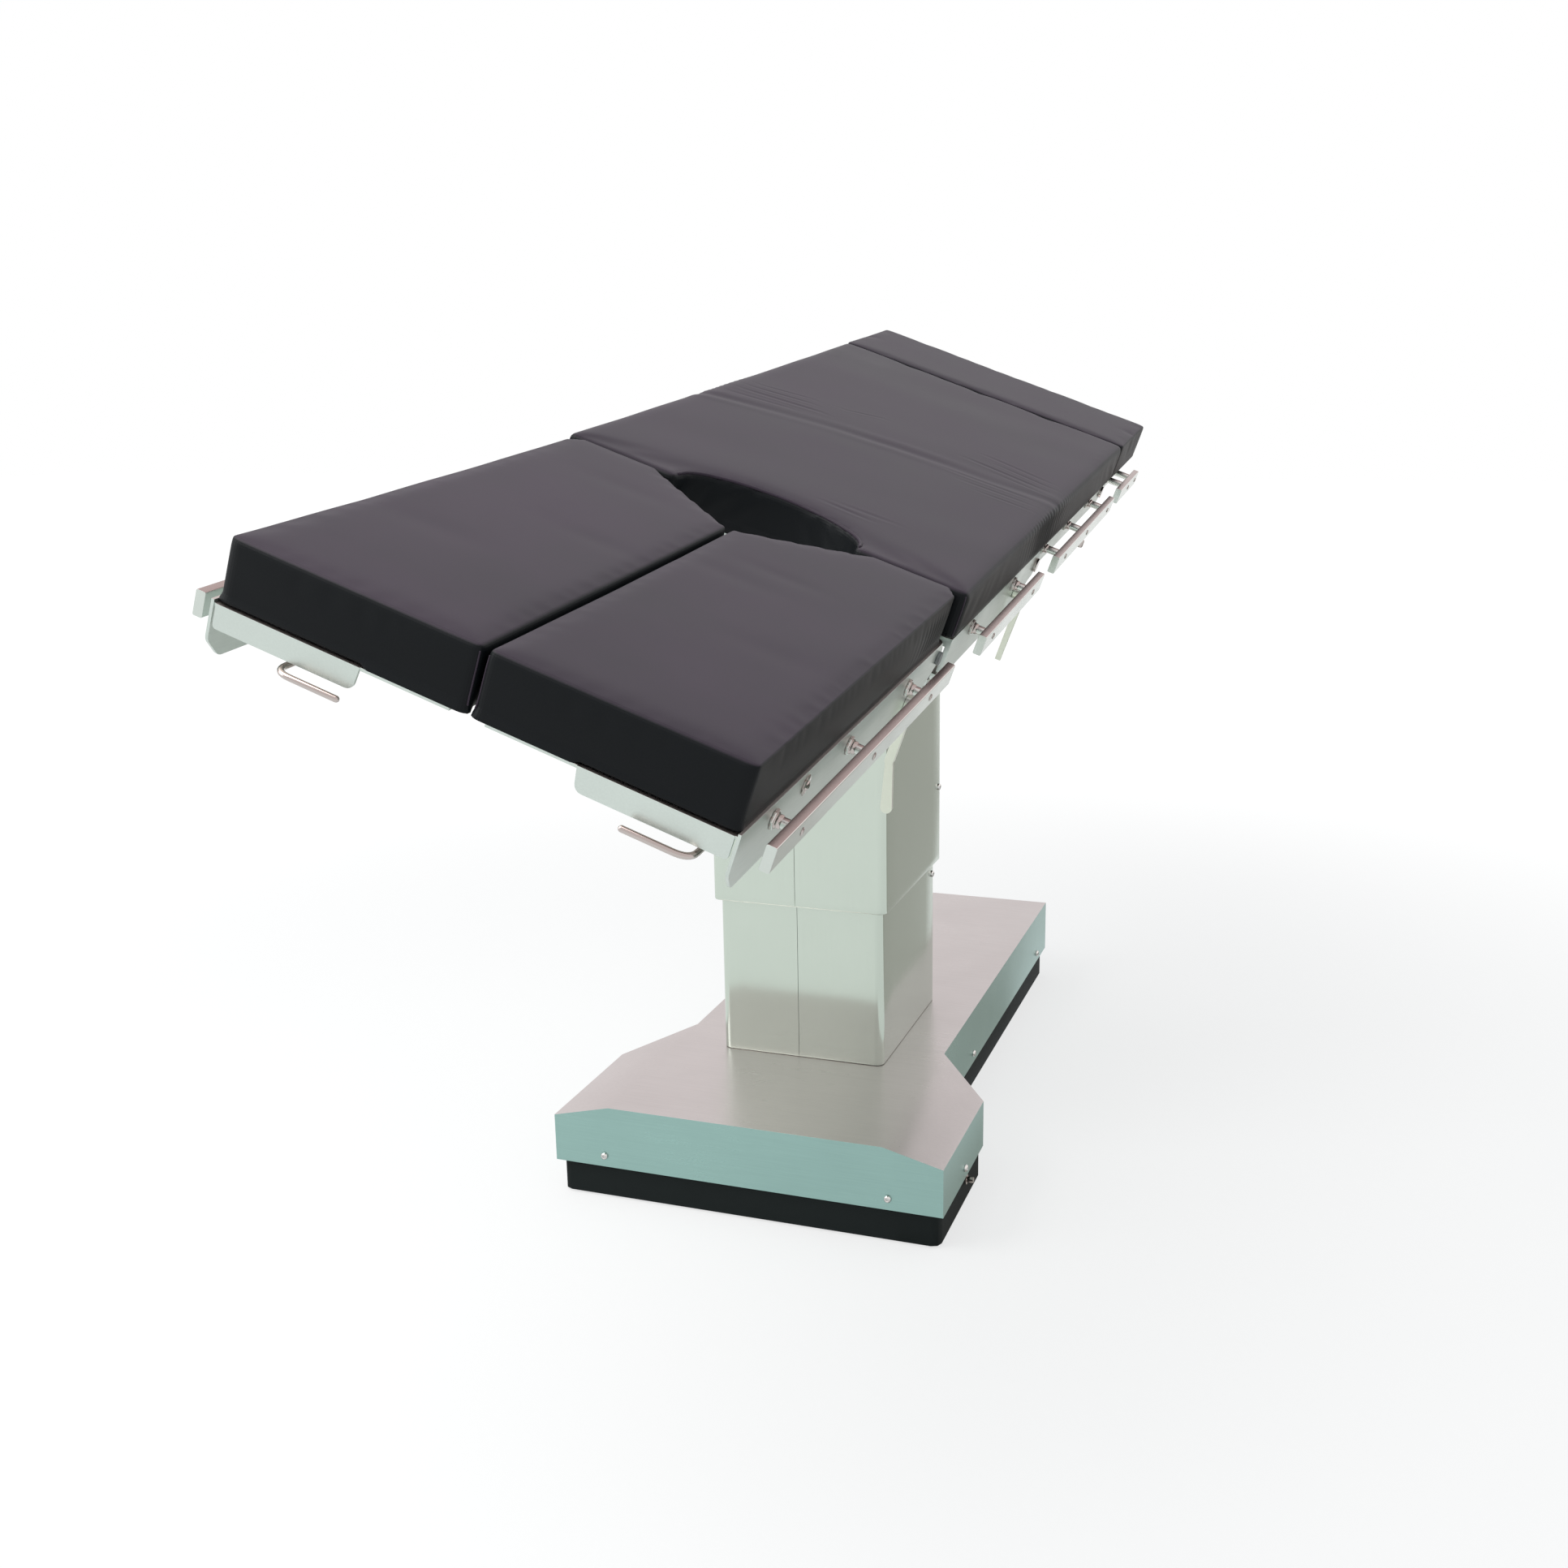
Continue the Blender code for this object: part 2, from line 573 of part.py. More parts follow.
def make_column():
    """The mast, the lift cylinder and the two pairs of telescoping covers."""
    foot_z = FRAME_LOW + FRAME_THICK + GAP
    flange = prism(rounded(rectangle((-MAST_FLANGE, MAST_FLANGE), (-MAST_FLANGE, MAST_FLANGE)), 0.01),
                   foot_z, foot_z + FRAME_THICK)
    inner = MAST - MAST_WALL
    bore = prism(rectangle((-inner, inner), (-inner, inner)), 0, 1)
    body = prism(rounded(rectangle((-MAST, MAST), (-MAST, MAST)), 0.006), foot_z + 0.001, MAST_TOP)
    place("mast_outer", cut(unite(flange, body), bore), DARK_STEEL, floor)

    bore_r = ROD_R + 0.003
    tube = cylinder((0, 0), CYLINDER_R, foot_z, MAST_TOP - 0.01, sides=24)
    place("lift_cylinder", cut(tube, cylinder((0, 0), bore_r, foot_z + 0.015, 1, sides=24)), DARK_STEEL, floor)

    for word, side in SIDES:
        cover = column_cover(LOWER_X, LOWER_Y, TOP_Z + GAP, LOWER_TOP, side)
        place(f"lower_column_cover_{word}", cover, STEEL, floor)

    slide = MAST - MAST_WALL - RUNNING
    upright = Frame("lifted_parts", lift, place=(0, 0, PIVOT_Z))
    place("mast_inner", square_tube(slide, INNER_WALL, INNER_LOW, HEAD_LOW - GAP), CHROME, upright)
    rod = cylinder((0, 0), ROD_R, INNER_LOW + 0.005, HEAD_LOW - GAP, sides=20)
    place("lift_piston_rod", rod, CHROME, upright)

    inside_x, inside_y = UPPER_X - SHEET - GAP, UPPER_Y - SHEET - GAP
    plate = prism(rounded(rectangle((-inside_x, inside_x), (-inside_y, inside_y)), COVER_CORNER - SHEET, 5),
                  HEAD_LOW, HEAD_LOW + HEAD_THICK)
    cheek = [(-YOKE_Y, HEAD_LOW + 0.002), (YOKE_Y, HEAD_LOW + 0.002)]
    cheek += arc((0, PIVOT_Z), YOKE_Y, 0, pi, 14)
    yokes = [prism(cheek, YOKE_IN, YOKE_OUT, "X"), prism(cheek, -YOKE_OUT, -YOKE_IN, "X")]
    pins = cylinder((0, PIVOT_Z), TRUNNION_R + RUNNING, -0.2, 0.2, "X", 20)
    place("column_head", cut(unite(plate, *yokes), pins), CAST, upright)

    for word, side in SIDES:
        cover = column_cover(UPPER_X, UPPER_Y, UPPER_LOW, UPPER_TOP, side)
        place(f"upper_column_cover_{word}", cover, STEEL, upright)


def make_tilt_head():
    """The saddle on its trunnions, and the shaft that the top rolls on."""
    body = prism(rounded(rectangle((-SADDLE_X, SADDLE_X), (-SADDLE_Z, SADDLE_Z)), 0.012),
                 SADDLE_FOOT, SADDLE_HEAD, "Y")
    trunnion = cylinder((0, 0), TRUNNION_R, -YOKE_OUT - 0.006, YOKE_OUT + 0.006, "X", 20)
    bore = cylinder((0, 0), SHAFT_R + RUNNING, -0.3, 0.3, "Y", 24)
    place("tilt_saddle", cut(unite(body, trunnion), bore), CAST, pitch)
    shaft = cylinder((0, 0), SHAFT_R, SADDLE_FOOT - HANGER - 0.012, SADDLE_HEAD + HANGER + 0.012, "Y", 24)
    place("tilt_shaft", shaft, CHROME, roll)


def hinge_bar(hinge, far, low, outside, far_round, bore=PIN_R + RUNNING):
    """A side bar of a section, rounded about its hinge pin and, if asked, about a second one."""
    y, z = hinge
    top = PAD_Z - DECK - GAP
    outline = arc((y, z), top - z, pi / 2, 3 * pi / 2, 12)
    if far_round:
        outline += arc((far, z), top - z, -pi / 2, pi / 2, 12)
    else:
        outline += [(far - 0.010, low), (far, low + 0.010), (far, top)]
    bar = prism(outline, outside - BAR, outside, "X")
    holes = [cylinder((y, z), bore, 0, 1, "X", 20)]
    if far_round:
        holes.append(cylinder((far, z), bore, 0, 1, "X", 20))
    return cut(bar, *holes)


def rail(span, posts, outside, cheek):
    """An accessory rail on round posts with hexagonal feet."""
    low, high = RAIL_TOP - RAIL_DEEP, RAIL_TOP
    section = rounded(rectangle((outside - RAIL_THICK, outside), (low, high)), 0.0015, 2)
    shapes = [prism(section, span[0], span[1], "Y")]
    middle = (low + high) / 2
    for y in posts:
        shapes.append(cylinder((y, middle), POST_R, cheek + GAP, outside - RAIL_THICK + 0.001, "X", 16))
        shapes.append(cylinder((y, middle), POST_R + 0.0045, cheek + GAP, cheek + 0.003, "X", 6))
    return unite(*shapes)


def pad(outline, frame, name, corners=PAD_CORNER):
    """A plain cushion with rounded corners and softened top edges."""
    low = PAD_Z + GAP
    shape = prism(rounded(outline, corners, 4), low, low + PAD)
    piece = place(name, shape, PADDING, frame)
    soft = piece.modifiers.new("soft_edges", "BEVEL")
    soft.width = PAD_EDGE
    soft.segments = 2
    soft.limit_method = "ANGLE"
    soft.angle_limit = radians(50)
    return piece


def seat_plan(inset_by, foot_end, head_end, wide):
    """Outline of the seat with the curved cut-out in its foot edge."""
    half, deep = ARC_HALF + inset_by, ARC_DEEP + inset_by
    curve = [(half * cos(t), foot_end + deep * sin(t)) for t in
             (pi - pi * i / 20 for i in range(21))]
    wide -= inset_by
    return [(-wide, foot_end), *curve, (wide, foot_end), (wide, head_end), (-wide, head_end)]


def make_seat():
    """The rolling frame with its deck, pad and rails."""
    top = PAD_Z - DECK - GAP
    cheek = [(-0.400, CHEEK_LOW), (0.030, CHEEK_LOW), (0.072, HINGE_BAR_LOW)]
    cheek += arc(BACK_HINGE, HINGE_R, -pi / 3, pi / 2, 8)
    cheek += [(-0.412, top), (-0.412, CHEEK_LOW + 0.012)]
    shapes = []
    for side in (-1, 1):
        sheet = prism(cheek, SEAT_CHEEK_IN, SEAT_CHEEK_OUT, "X")
        shapes.append(side_mesh(sheet, side))
    beam_wide = 0.026
    for y in (SADDLE_FOOT - HANGER / 2 - 0.001, SADDLE_HEAD + HANGER / 2 + 0.001):
        start, end = y - HANGER / 2, y + HANGER / 2
        outline = [(-HANGER_X, top), (-HANGER_X, 0.090), (-0.026, 0.010)]
        outline += arc((0, 0), 0.028, pi + 0.3, 2 * pi - 0.3, 10)
        outline += [(0.026, 0.010), (HANGER_X, 0.090), (HANGER_X, top)]
        shapes.append(prism(outline, start, end, "Y"))
    for y in (SADDLE_FOOT - HANGER / 2, SADDLE_HEAD + HANGER / 2 - 0.006, SEAT_FOOT + 0.085):
        shapes.append(box((-SEAT_CHEEK_IN - 0.001, SEAT_CHEEK_IN + 0.001),
                          (y - beam_wide / 2, y + beam_wide / 2), (0.106, top)))
    ear_x = SWING[0]
    for side in (-1, 1):
        for low, high in ((0.0850, 0.0925), (0.1320, 0.1395)):
            ear = arc(SWING, EAR_R, pi, 2.58 * pi, 14)
            ear += [(ear_x - EAR_NECK, EAR_Y[0]), (SEAT_CHEEK_IN + 0.001, EAR_Y[0]),
                    (SEAT_CHEEK_IN + 0.001, EAR_Y[1]), (ear_x - EAR_R, EAR_Y[1])]
            shapes.append(side_mesh(prism(ear, low, high), side))
        web = box((ear_x - EAR_R, ear_x - EAR_NECK), (EAR_Y[0] + 0.010, EAR_Y[1]), (0.0850, 0.1395))
        shapes.append(side_mesh(web, side))
        pin = cylinder(SWING, 0.005, 0.0870, 0.1380, sides=16)
        shapes.append(side_mesh(pin, side))
    bores = [cylinder((0, 0), SHAFT_R + GAP, -0.3, 0.3, "Y", 24),
             cylinder(BACK_HINGE, PIN_R + RUNNING, -0.3, 0.3, "X", 20)]
    place("seat_frame", cut(unite(*shapes), *bores), STEEL, roll)

    deck = prism(seat_plan(DECK_INSET, SEAT_FOOT + DECK_INSET, BACK_HINGE[0] - DECK_FOLD, SEAT_WIDE),
                 top + GAP, PAD_Z)
    place("seat_deck", deck, PANEL, roll)
    plan = seat_plan(0, SEAT_FOOT, BACK_HINGE[0] - FOLD, SEAT_WIDE)
    corners = [PAD_CORNER, *[0] * 21, PAD_CORNER, 0, 0]
    pad(plan, roll, "seat_pad", corners)
    start, end = BACK_HINGE[0] - FOLD + GAP, BACK_HINGE[0] + FOLD - GAP
    pad(rectangle((-SEAT_WIDE, SEAT_WIDE), (start, end)), roll, "seat_back_fold", 0)
    for word, side in SIDES:
        shape = rail(SEAT_RAIL, SEAT_POSTS, TOP_RAIL_X, SEAT_CHEEK_OUT)
        place(f"seat_rail_{word}", side_mesh(shape, side), STEEL, roll)
    place("back_hinge_shaft", hinge_shaft(BACK_HINGE, SEAT_CHEEK_OUT), CHROME, roll)


def hinge_shaft(hinge, outer):
    """A shaft across the table through the bars of both sides, with a round cap at each end."""
    caps = []
    for side in (-1, 1):
        cap = cylinder(hinge, PIN_R + 0.004, outer + GAP, outer + 0.0045, "X", 20)
        caps.append(side_mesh(cap, side))
    return unite(cylinder(hinge, PIN_R, -outer - 0.001, outer + 0.001, "X", 20), *caps)


def make_back():
    """The back section on its hinge."""
    top = PAD_Z - DECK - GAP
    shapes = []
    for side in (-1, 1):
        bar = hinge_bar(BACK_HINGE, HEAD_HINGE[0], HINGE_BAR_LOW, BACK_BAR_OUT, True)
        shapes.append(side_mesh(bar, side))
    reach = BACK_BAR_OUT - BAR + 0.001
    for y in BACK_BEAMS:
        shapes.append(box((-reach, reach), (y - 0.015, y + 0.015), (0.116, top)))
    place("back_frame", unite(*shapes), STEEL, back)
    start, end = BACK_HINGE[0] + DECK_FOLD, HEAD_HINGE[0] - 0.008
    wide = SEAT_WIDE - DECK_INSET
    deck = prism(rounded(rectangle((-wide, wide), (start, end)), 0.004), top + GAP, PAD_Z)
    place("back_deck", deck, PANEL, back)
    start, end = BACK_HINGE[0] + FOLD, HEAD_HINGE[0] - 0.002
    pad(rectangle((-SEAT_WIDE, SEAT_WIDE), (start, end)), back, "back_pad", [0, 0, 0.006, 0.006])
    for word, side in SIDES:
        shape = rail(BACK_RAIL, BACK_POSTS, TOP_RAIL_X, BACK_BAR_OUT)
        place(f"back_rail_{word}", side_mesh(shape, side), STEEL, back)
    place("head_hinge_shaft", hinge_shaft(HEAD_HINGE, BACK_BAR_OUT), CHROME, back)


def make_head():
    """The head section: a folded tray on two hinge bars."""
    top = PAD_Z - DECK - GAP
    shapes = []
    far = HEAD_END - 0.020
    for side in (-1, 1):
        bar = hinge_bar(HEAD_HINGE, far, HINGE_BAR_LOW, HEAD_BAR_OUT, False)
        shapes.append(side_mesh(bar, side))
    wide = HEAD_WIDE - DECK_INSET
    start = HEAD_HINGE[0] + 0.008
    shapes.append(prism(rounded(rectangle((-wide, wide), (start, HEAD_END - DECK_INSET)), 0.006),
                        top - 0.0005, PAD_Z))
    reach = HEAD_BAR_OUT - BAR + 0.001
    for y in HEAD_BEAMS:
        shapes.append(box((-reach, reach), (y - 0.012, y + 0.012), (0.120, top)))
    place("head_frame", unite(*shapes), STEEL, head)
    start = HEAD_HINGE[0] + HEAD_FOLD
    pad(rectangle((-HEAD_WIDE, HEAD_WIDE), (start, HEAD_END)), head, "head_pad", [0, 0, PAD_CORNER, PAD_CORNER])
    span = (HEAD_HINGE[0] + 0.002, start - GAP)
    pad(rectangle((-HEAD_WIDE, HEAD_WIDE), span), head, "head_pad_fold", 0)
    for word, side in SIDES:
        shape = rail(HEAD_RAIL, HEAD_POSTS, TOP_RAIL_X, HEAD_BAR_OUT)
        place(f"head_rail_{word}", side_mesh(shape, side), STEEL, head)


def leg_plan(inset_by, side_edge, foot_end, head_end):
    """Outline of a right leg section with its inner head corner cut away."""
    inner = LEG_SPLIT + inset_by
    slope = CORNER_CUT_Y / (CORNER_CUT_X - LEG_SPLIT)
    drop = inset_by * (slope + math.hypot(1, slope))
    corner_y = LEG_HEAD - CORNER_CUT_Y - drop
    corner_x = inner + (head_end - corner_y) / slope
    return [(inner, foot_end), (side_edge, foot_end), (side_edge, head_end), (corner_x, head_end),
            (inner, corner_y)]


def leg_tray(rod_x):
    """A right leg tray folded from one sheet: deck, side cheek, foot lip, ribs and the inner hinge ear."""
    y, z = LEG_HINGE
    under, cheek_out = PAD_Z - TRAY, LEG_CHEEK_IN + TRAY
    deck = prism(leg_plan(DECK_INSET, LEG_CHEEK_IN + 0.001, LIP_FOOT + 0.001, y + 0.003), under, PAD_Z)
    side = [(LIP_FOOT + 0.020, LEG_CHEEK_LOW), (-0.520, LEG_CHEEK_LOW), (y - 0.008, z - 0.020)]
    side += arc((y, z), 0.0150, -pi / 3, pi / 3, 8)
    side += [(y, LEG_CHEEK_TOP), (LIP_FOOT, LEG_CHEEK_TOP), (LIP_FOOT, LEG_CHEEK_LOW + 0.020)]
    radii = [0.012, 0, 0, *[0] * 9, 0, 0, 0.012]
    cheek = prism(rounded(side, radii, 4), LEG_CHEEK_IN, cheek_out, "X")
    lip_low = PAD_Z - LIP_DEEP
    lip = [(LIP_IN, lip_low), (LEG_WIDE, lip_low), (LEG_WIDE, PAD_Z), (LIP_IN - 0.003, PAD_Z)]
    front = prism(rounded(lip, [0.008, 0.004, 0, 0]), LIP_FOOT, LIP_FOOT + TRAY, "Y")
    ribs = []
    for x in (0.050, 0.140):
        ribs.append(box((x, x + 0.022), (LIP_FOOT + 0.060, y - 0.130), (under - 0.012, under + 0.001)))
    ear = [(y - 0.030, under + 0.001), (y - 0.030, under - 0.010)]
    ear += arc((y, z), 0.0105, -3 * pi / 4, pi / 4, 8)
    ear += [(y + 0.003, under + 0.001)]
    inner_ear = prism(ear, KNUCKLE_IN - 0.0045, KNUCKLE_IN - GAP, "X")
    guide = box((rod_x - 0.008, rod_x + 0.008), (LIP_FOOT + 0.060, LIP_FOOT + 0.075), (ROD_Z - 0.008, under + 0.001))
    rear = box((rod_x - 0.008, rod_x + 0.008), (ROD_BACK + 0.010, ROD_BACK + 0.022), (ROD_Z - 0.008, under + 0.001))
    holes = [cylinder((rod_x, ROD_Z), RELEASE_R + RUNNING, LIP_FOOT - 0.01, -0.7, "Y", 16),
             cylinder((y, z), 0.005 + RUNNING, 0.1, 0.3, "X", 20)]
    return cut(unite(deck, cheek, front, *ribs, inner_ear, guide, rear), *holes)


def leg_knuckle():
    """A right swivel: an upright barrel that swings outwards and a level knuckle that the leg folds on."""
    y, z = LEG_HINGE
    barrel = cylinder(SWING, BARREL_R, 0.0930, 0.1315, sides=20)
    knuckle = cylinder((y, z), KNUCKLE_R, KNUCKLE_IN, LEG_CHEEK_IN - 0.001, "X", 20)
    web = box((SWING[0] - 0.018, SWING[0] + 0.010), (y, SWING[1]), (z - 0.011, 0.1310))
    shank = cylinder((y, z), 0.005, KNUCKLE_IN - 0.0075, LEG_CHEEK_IN + TRAY + 0.001, "X", 20)
    cap = cylinder((y, z), 0.008, LEG_CHEEK_IN + TRAY + GAP, LEG_CHEEK_IN + TRAY + 0.004, "X", 20)
    bore = cylinder(SWING, 0.005 + RUNNING, 0, 1, sides=20)
    return cut(unite(barrel, knuckle, web, shank, cap), bore)


def bent_rod(corners, radius, bend):
    """A round wire along a path whose corners are bent to a radius, as a filled curve."""
    points = [Vector(corners[0])]
    for before, here, after in zip(corners, corners[1:], corners[2:]):
        here = Vector(here)
        arrive = (Vector(before) - here).normalized()
        leave = (Vector(after) - here).normalized()
        for i in range(7):
            t = i / 6
            points.append(here + arrive * bend * (1 - t) ** 2 + leave * bend * t ** 2)
    points.append(Vector(corners[-1]))
    curve = bpy.data.curves.new("wire", "CURVE")
    curve.dimensions = "3D"
    curve.bevel_depth = radius
    curve.bevel_resolution = 3
    curve.use_fill_caps = True
    spline = curve.splines.new("POLY")
    spline.points.add(len(points) - 1)
    for spot, point in zip(spline.points, points):
        spot.co = (*point, 1)
    return curve


def paddle(pivot_x):
    """A clamp lever: a boss on the cheek, a round-ended hub below it and a broad blade that leans outwards."""
    y, z = LEVER_AT
    half = HUB_WIDE / 2
    middle, low = pivot_x + half, z - HUB_LONG
    boss = cylinder((y, z), 0.009, pivot_x, pivot_x + HUB_WIDE, "X", 20)
    outline = [(pivot_x + HUB_WIDE, z), (pivot_x, z)] + arc((middle, low + half), half, pi, 2 * pi, 8)
    hub = prism(outline, y - 0.005, y + 0.005, "Y")
    blade = [(middle + 0.004, low + 0.010), (middle - 0.004, low + 0.010)]
    blade += arc((middle, low - BLADE_LONG + 0.0067), 0.0067, pi, 2 * pi, 10)
    lower = prism(blade, y - 0.0025, y + 0.0025, "Y")
    bend = Vector((middle, y, low + 0.004))
    lower.transform(Matrix.Translation(bend) @ Matrix.Rotation(-LEVER_LEAN, 4, "Y") @ Matrix.Translation(-bend))
    return unite(boss, hub, lower)


def make_legs():
    """Both leg sections: swivel, tray, pad, rail, release rod and clamp lever."""
    y, z = LEG_HINGE
    top = PAD_Z - TRAY
    for word, side in SIDES:
        swing = Frame(f"leg_swing_{word}", roll, place=(side * SWING[0], SWING[1], top))
        fold = Frame(f"leg_fold_{word}", swing, place=(0, y, z), turn=(-LEG_RAISE, 0, 0))
        place(f"leg_swivel_{word}", side_mesh(leg_knuckle(), side), CAST, swing)
        place(f"leg_frame_{word}", side_mesh(leg_tray(ROD_X[word]), side), STEEL, fold)
        shape = rail(LEG_RAIL, LEG_POSTS, LEG_RAIL_X, LEG_CHEEK_IN + TRAY)
        place(f"leg_rail_{word}", side_mesh(shape, side), STEEL, fold)
        outline = leg_plan(0, LEG_WIDE, LEG_FOOT, LEG_HEAD)
        if side < 0:
            outline = [(-a, b) for a, b in reversed(outline)]
        pad(outline, fold, f"leg_pad_{word}", 0.010)
        x, tip = side * ROD_X[word], side * (ROD_X[word] - ROD_REACH)
        turn = Frame(f"release_axis_{word}", fold, place=(x, ROD_FRONT, ROD_Z))
        path = [(x, ROD_BACK, ROD_Z), (x, ROD_FRONT, ROD_Z), (tip, ROD_FRONT, ROD_Z)]
        place(f"leg_release_rod_{word}", bent_rod(path, RELEASE_R, 0.016), CHROME, turn)
        pivot_x = LEG_CHEEK_IN + TRAY + GAP
        clamp = Frame(f"clamp_axis_{word}", fold, place=(side * pivot_x, *LEVER_AT))
        place(f"leg_clamp_lever_{word}", side_mesh(paddle(pivot_x), side), LEVER_FINISH, clamp)


def make_crank():
    """The flat lever that hangs below the right seat rail."""
    y, z = CRANK_AT
    start = SEAT_CHEEK_OUT + GAP
    crank = Frame("crank_axis", roll, place=(start, y, z))
    boss = cylinder((y, z), 0.010, start, start + 0.0165, "X", 20)
    bar = [(start + 0.0080, z - CRANK_LONG), (start + 0.0158, z - CRANK_LONG), (start + 0.0175, z), (start + 0.0080, z)]
    place("side_lock_lever", unite(boss, prism(bar, y - 0.002, y + 0.002, "Y")), LEVER_FINISH, crank)


make_base()
make_earth_stud()
make_drive()
make_carriage()
make_column()
make_tilt_head()
make_seat()
make_back()
make_head()
make_legs()
make_crank()
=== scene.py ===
# %% [markdown]
# # An operating table, dressed from its solids
# The solids of the table are already built and packed. This lesson puts skin on them: brushed steel,
# cast iron, rubber and the dark coated cover of the pads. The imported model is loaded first, as a frame
# that never moves, so every new piece is drawn in the same metres and lands where its solid is.

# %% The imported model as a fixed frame
import json
import math

import bmesh
import bpy
import numpy as np
from mathutils import Matrix, Vector
from mathutils.bvhtree import BVHTree


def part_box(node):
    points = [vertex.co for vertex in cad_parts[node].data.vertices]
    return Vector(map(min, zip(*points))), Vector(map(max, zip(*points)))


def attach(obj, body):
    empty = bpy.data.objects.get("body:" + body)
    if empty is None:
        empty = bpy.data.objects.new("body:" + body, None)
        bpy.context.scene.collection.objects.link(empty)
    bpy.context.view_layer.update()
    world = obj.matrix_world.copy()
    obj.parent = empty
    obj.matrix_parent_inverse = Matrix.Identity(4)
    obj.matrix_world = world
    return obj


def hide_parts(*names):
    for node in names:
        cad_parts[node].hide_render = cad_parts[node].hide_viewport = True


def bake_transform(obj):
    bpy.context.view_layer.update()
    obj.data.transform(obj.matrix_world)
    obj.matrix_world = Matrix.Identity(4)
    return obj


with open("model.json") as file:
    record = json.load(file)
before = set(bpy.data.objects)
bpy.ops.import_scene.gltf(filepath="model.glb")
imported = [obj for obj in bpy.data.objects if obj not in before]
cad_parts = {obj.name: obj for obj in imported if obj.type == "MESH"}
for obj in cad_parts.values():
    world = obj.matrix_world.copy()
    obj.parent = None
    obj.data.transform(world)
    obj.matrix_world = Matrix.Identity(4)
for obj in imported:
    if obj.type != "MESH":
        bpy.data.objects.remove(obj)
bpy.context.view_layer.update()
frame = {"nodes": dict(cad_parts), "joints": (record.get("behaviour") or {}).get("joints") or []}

# %% [markdown]
# ## Coordinates that lie on the tilted top
# The top is rolled to its right and raised at the head, so nothing on it is level. It would be hard to
# draw a pad in room coordinates. The joints of the record give the way out: the side tilt turns about
# the long axis of the top and the back hinge about its cross axis. Those two lines make a flat drawing
# board, and one matrix carries what is drawn on it to the room. The legs get a board of their own,
# because they stand a degree or so higher.

# %% Drawing boards for the top and for the legs
joints = {joint["name"]: joint for joint in frame["joints"]}


def unit(vectors):
    """Vectors (..., 3) divided by their lengths."""
    return vectors / np.linalg.norm(vectors, axis=-1, keepdims=True)


def board(origin, across, along):
    """A 4 x 4 matrix whose columns are across, along, their cross product and the origin."""
    matrix = np.eye(4)
    matrix[:3, 0] = across
    matrix[:3, 1] = along
    matrix[:3, 2] = np.cross(across, along)
    matrix[:3, 3] = origin
    return matrix


def moved(x, y, z):
    """The 4 x 4 matrix of a plain shift."""
    matrix = np.eye(4)
    matrix[:3, 3] = (x, y, z)
    return matrix


def about_x(angle):
    """The 4 x 4 matrix of a turn about x: y' = y cos a - z sin a, z' = y sin a + z cos a."""
    matrix = np.eye(4)
    matrix[1:3, 1:3] = [[math.cos(angle), -math.sin(angle)], [math.sin(angle), math.cos(angle)]]
    return matrix


LEG_HINGE = (-0.455, 0.129)
LEG_RAISE = math.radians(1.2)
TOP = board(joints["end_tilt"]["pos_m"], joints["back_fold"]["axis"], joints["side_tilt"]["axis"])
LEG = TOP @ moved(0, *LEG_HINGE) @ about_x(-LEG_RAISE) @ moved(0, -LEG_HINGE[0], -LEG_HINGE[1])
FOOT = moved(TOP[0, 3], TOP[1, 3], 0)
print("centre of the tilt head", TOP[:3, 3].round(4))

# %% [markdown]
# ## The camera
# A camera is a place, a direction and a lens. These were found by lining up the straight edges of the
# base, the column and the rails with the picture that the table is made after: a 39 mm lens, 2.4 m from
# the column and a little above the top, looking 14 degrees down.

# %% A camera at the picture's angle
EYE = (0.7746, -2.3230, 1.1181)
YAW, DIP, LEAN = math.radians(20.03), math.radians(13.90), math.radians(-1.024)

forward = np.array([-math.sin(YAW) * math.cos(DIP), math.cos(YAW) * math.cos(DIP), -math.sin(DIP)])
level = unit(np.cross(forward, [0, 0, 1]))
upright = np.cross(level, forward)
right = math.cos(LEAN) * level + math.sin(LEAN) * upright
up = math.cos(LEAN) * upright - math.sin(LEAN) * level

camera = bpy.data.objects.new("camera", bpy.data.cameras.new("camera"))
bpy.context.scene.collection.objects.link(camera)
pose = np.eye(4)
pose[:3, :3] = np.column_stack([right, up, -forward])
pose[:3, 3] = FOOT[:3, 3] + EYE
camera.matrix_world = Matrix(pose.tolist())
camera.data.lens = 39.19
camera.data.sensor_width = 36
camera.data.clip_end = 60
bpy.context.scene.camera = camera
print("camera stands at", pose[:3, 3].round(3))

# %% [markdown]
# ## Light, room and floor
# Stainless steel shows its surroundings more than itself, so the room is the first half of the finish.
# A white room with one large soft lamp overhead and a weaker one at the side gives pale steel and pads
# that are light on top and dark on their sides. The camera and every mirror see plain white, while the
# room lights the table at a lower level, so that colours come out as they are written.

# %% Lamps and world
scene = bpy.context.scene
scene.view_settings.view_transform = "Standard"

# Square area lamps: name, place, what they face, side in metres, watts and colour.
for name, place, aim, size, power, colour in (
        ("ceiling_panel", (-1.1, -1.3, 3.0), (0, -0.2, 0.7), 2.2, 56, (1.0, 0.985, 0.97)),
        ("window_side", (-3.2, -2.4, 2.2), (0, 0, 0.6), 2.2, 32, (0.95, 0.98, 1.0)),
        ("far_side", (3.0, 1.6, 1.7), (0, 0, 0.6), 2.0, 3, (1.0, 1.0, 1.0))):
    panel = bpy.data.lights.new(name, "AREA")
    panel.size, panel.energy, panel.color = size, power, colour
    light = bpy.data.objects.new(name, panel)
    light.location = place
    light.rotation_mode = "QUATERNION"
    light.rotation_quaternion = (Vector(aim) - Vector(place)).to_track_quat("-Z", "Y")
    scene.collection.objects.link(light)


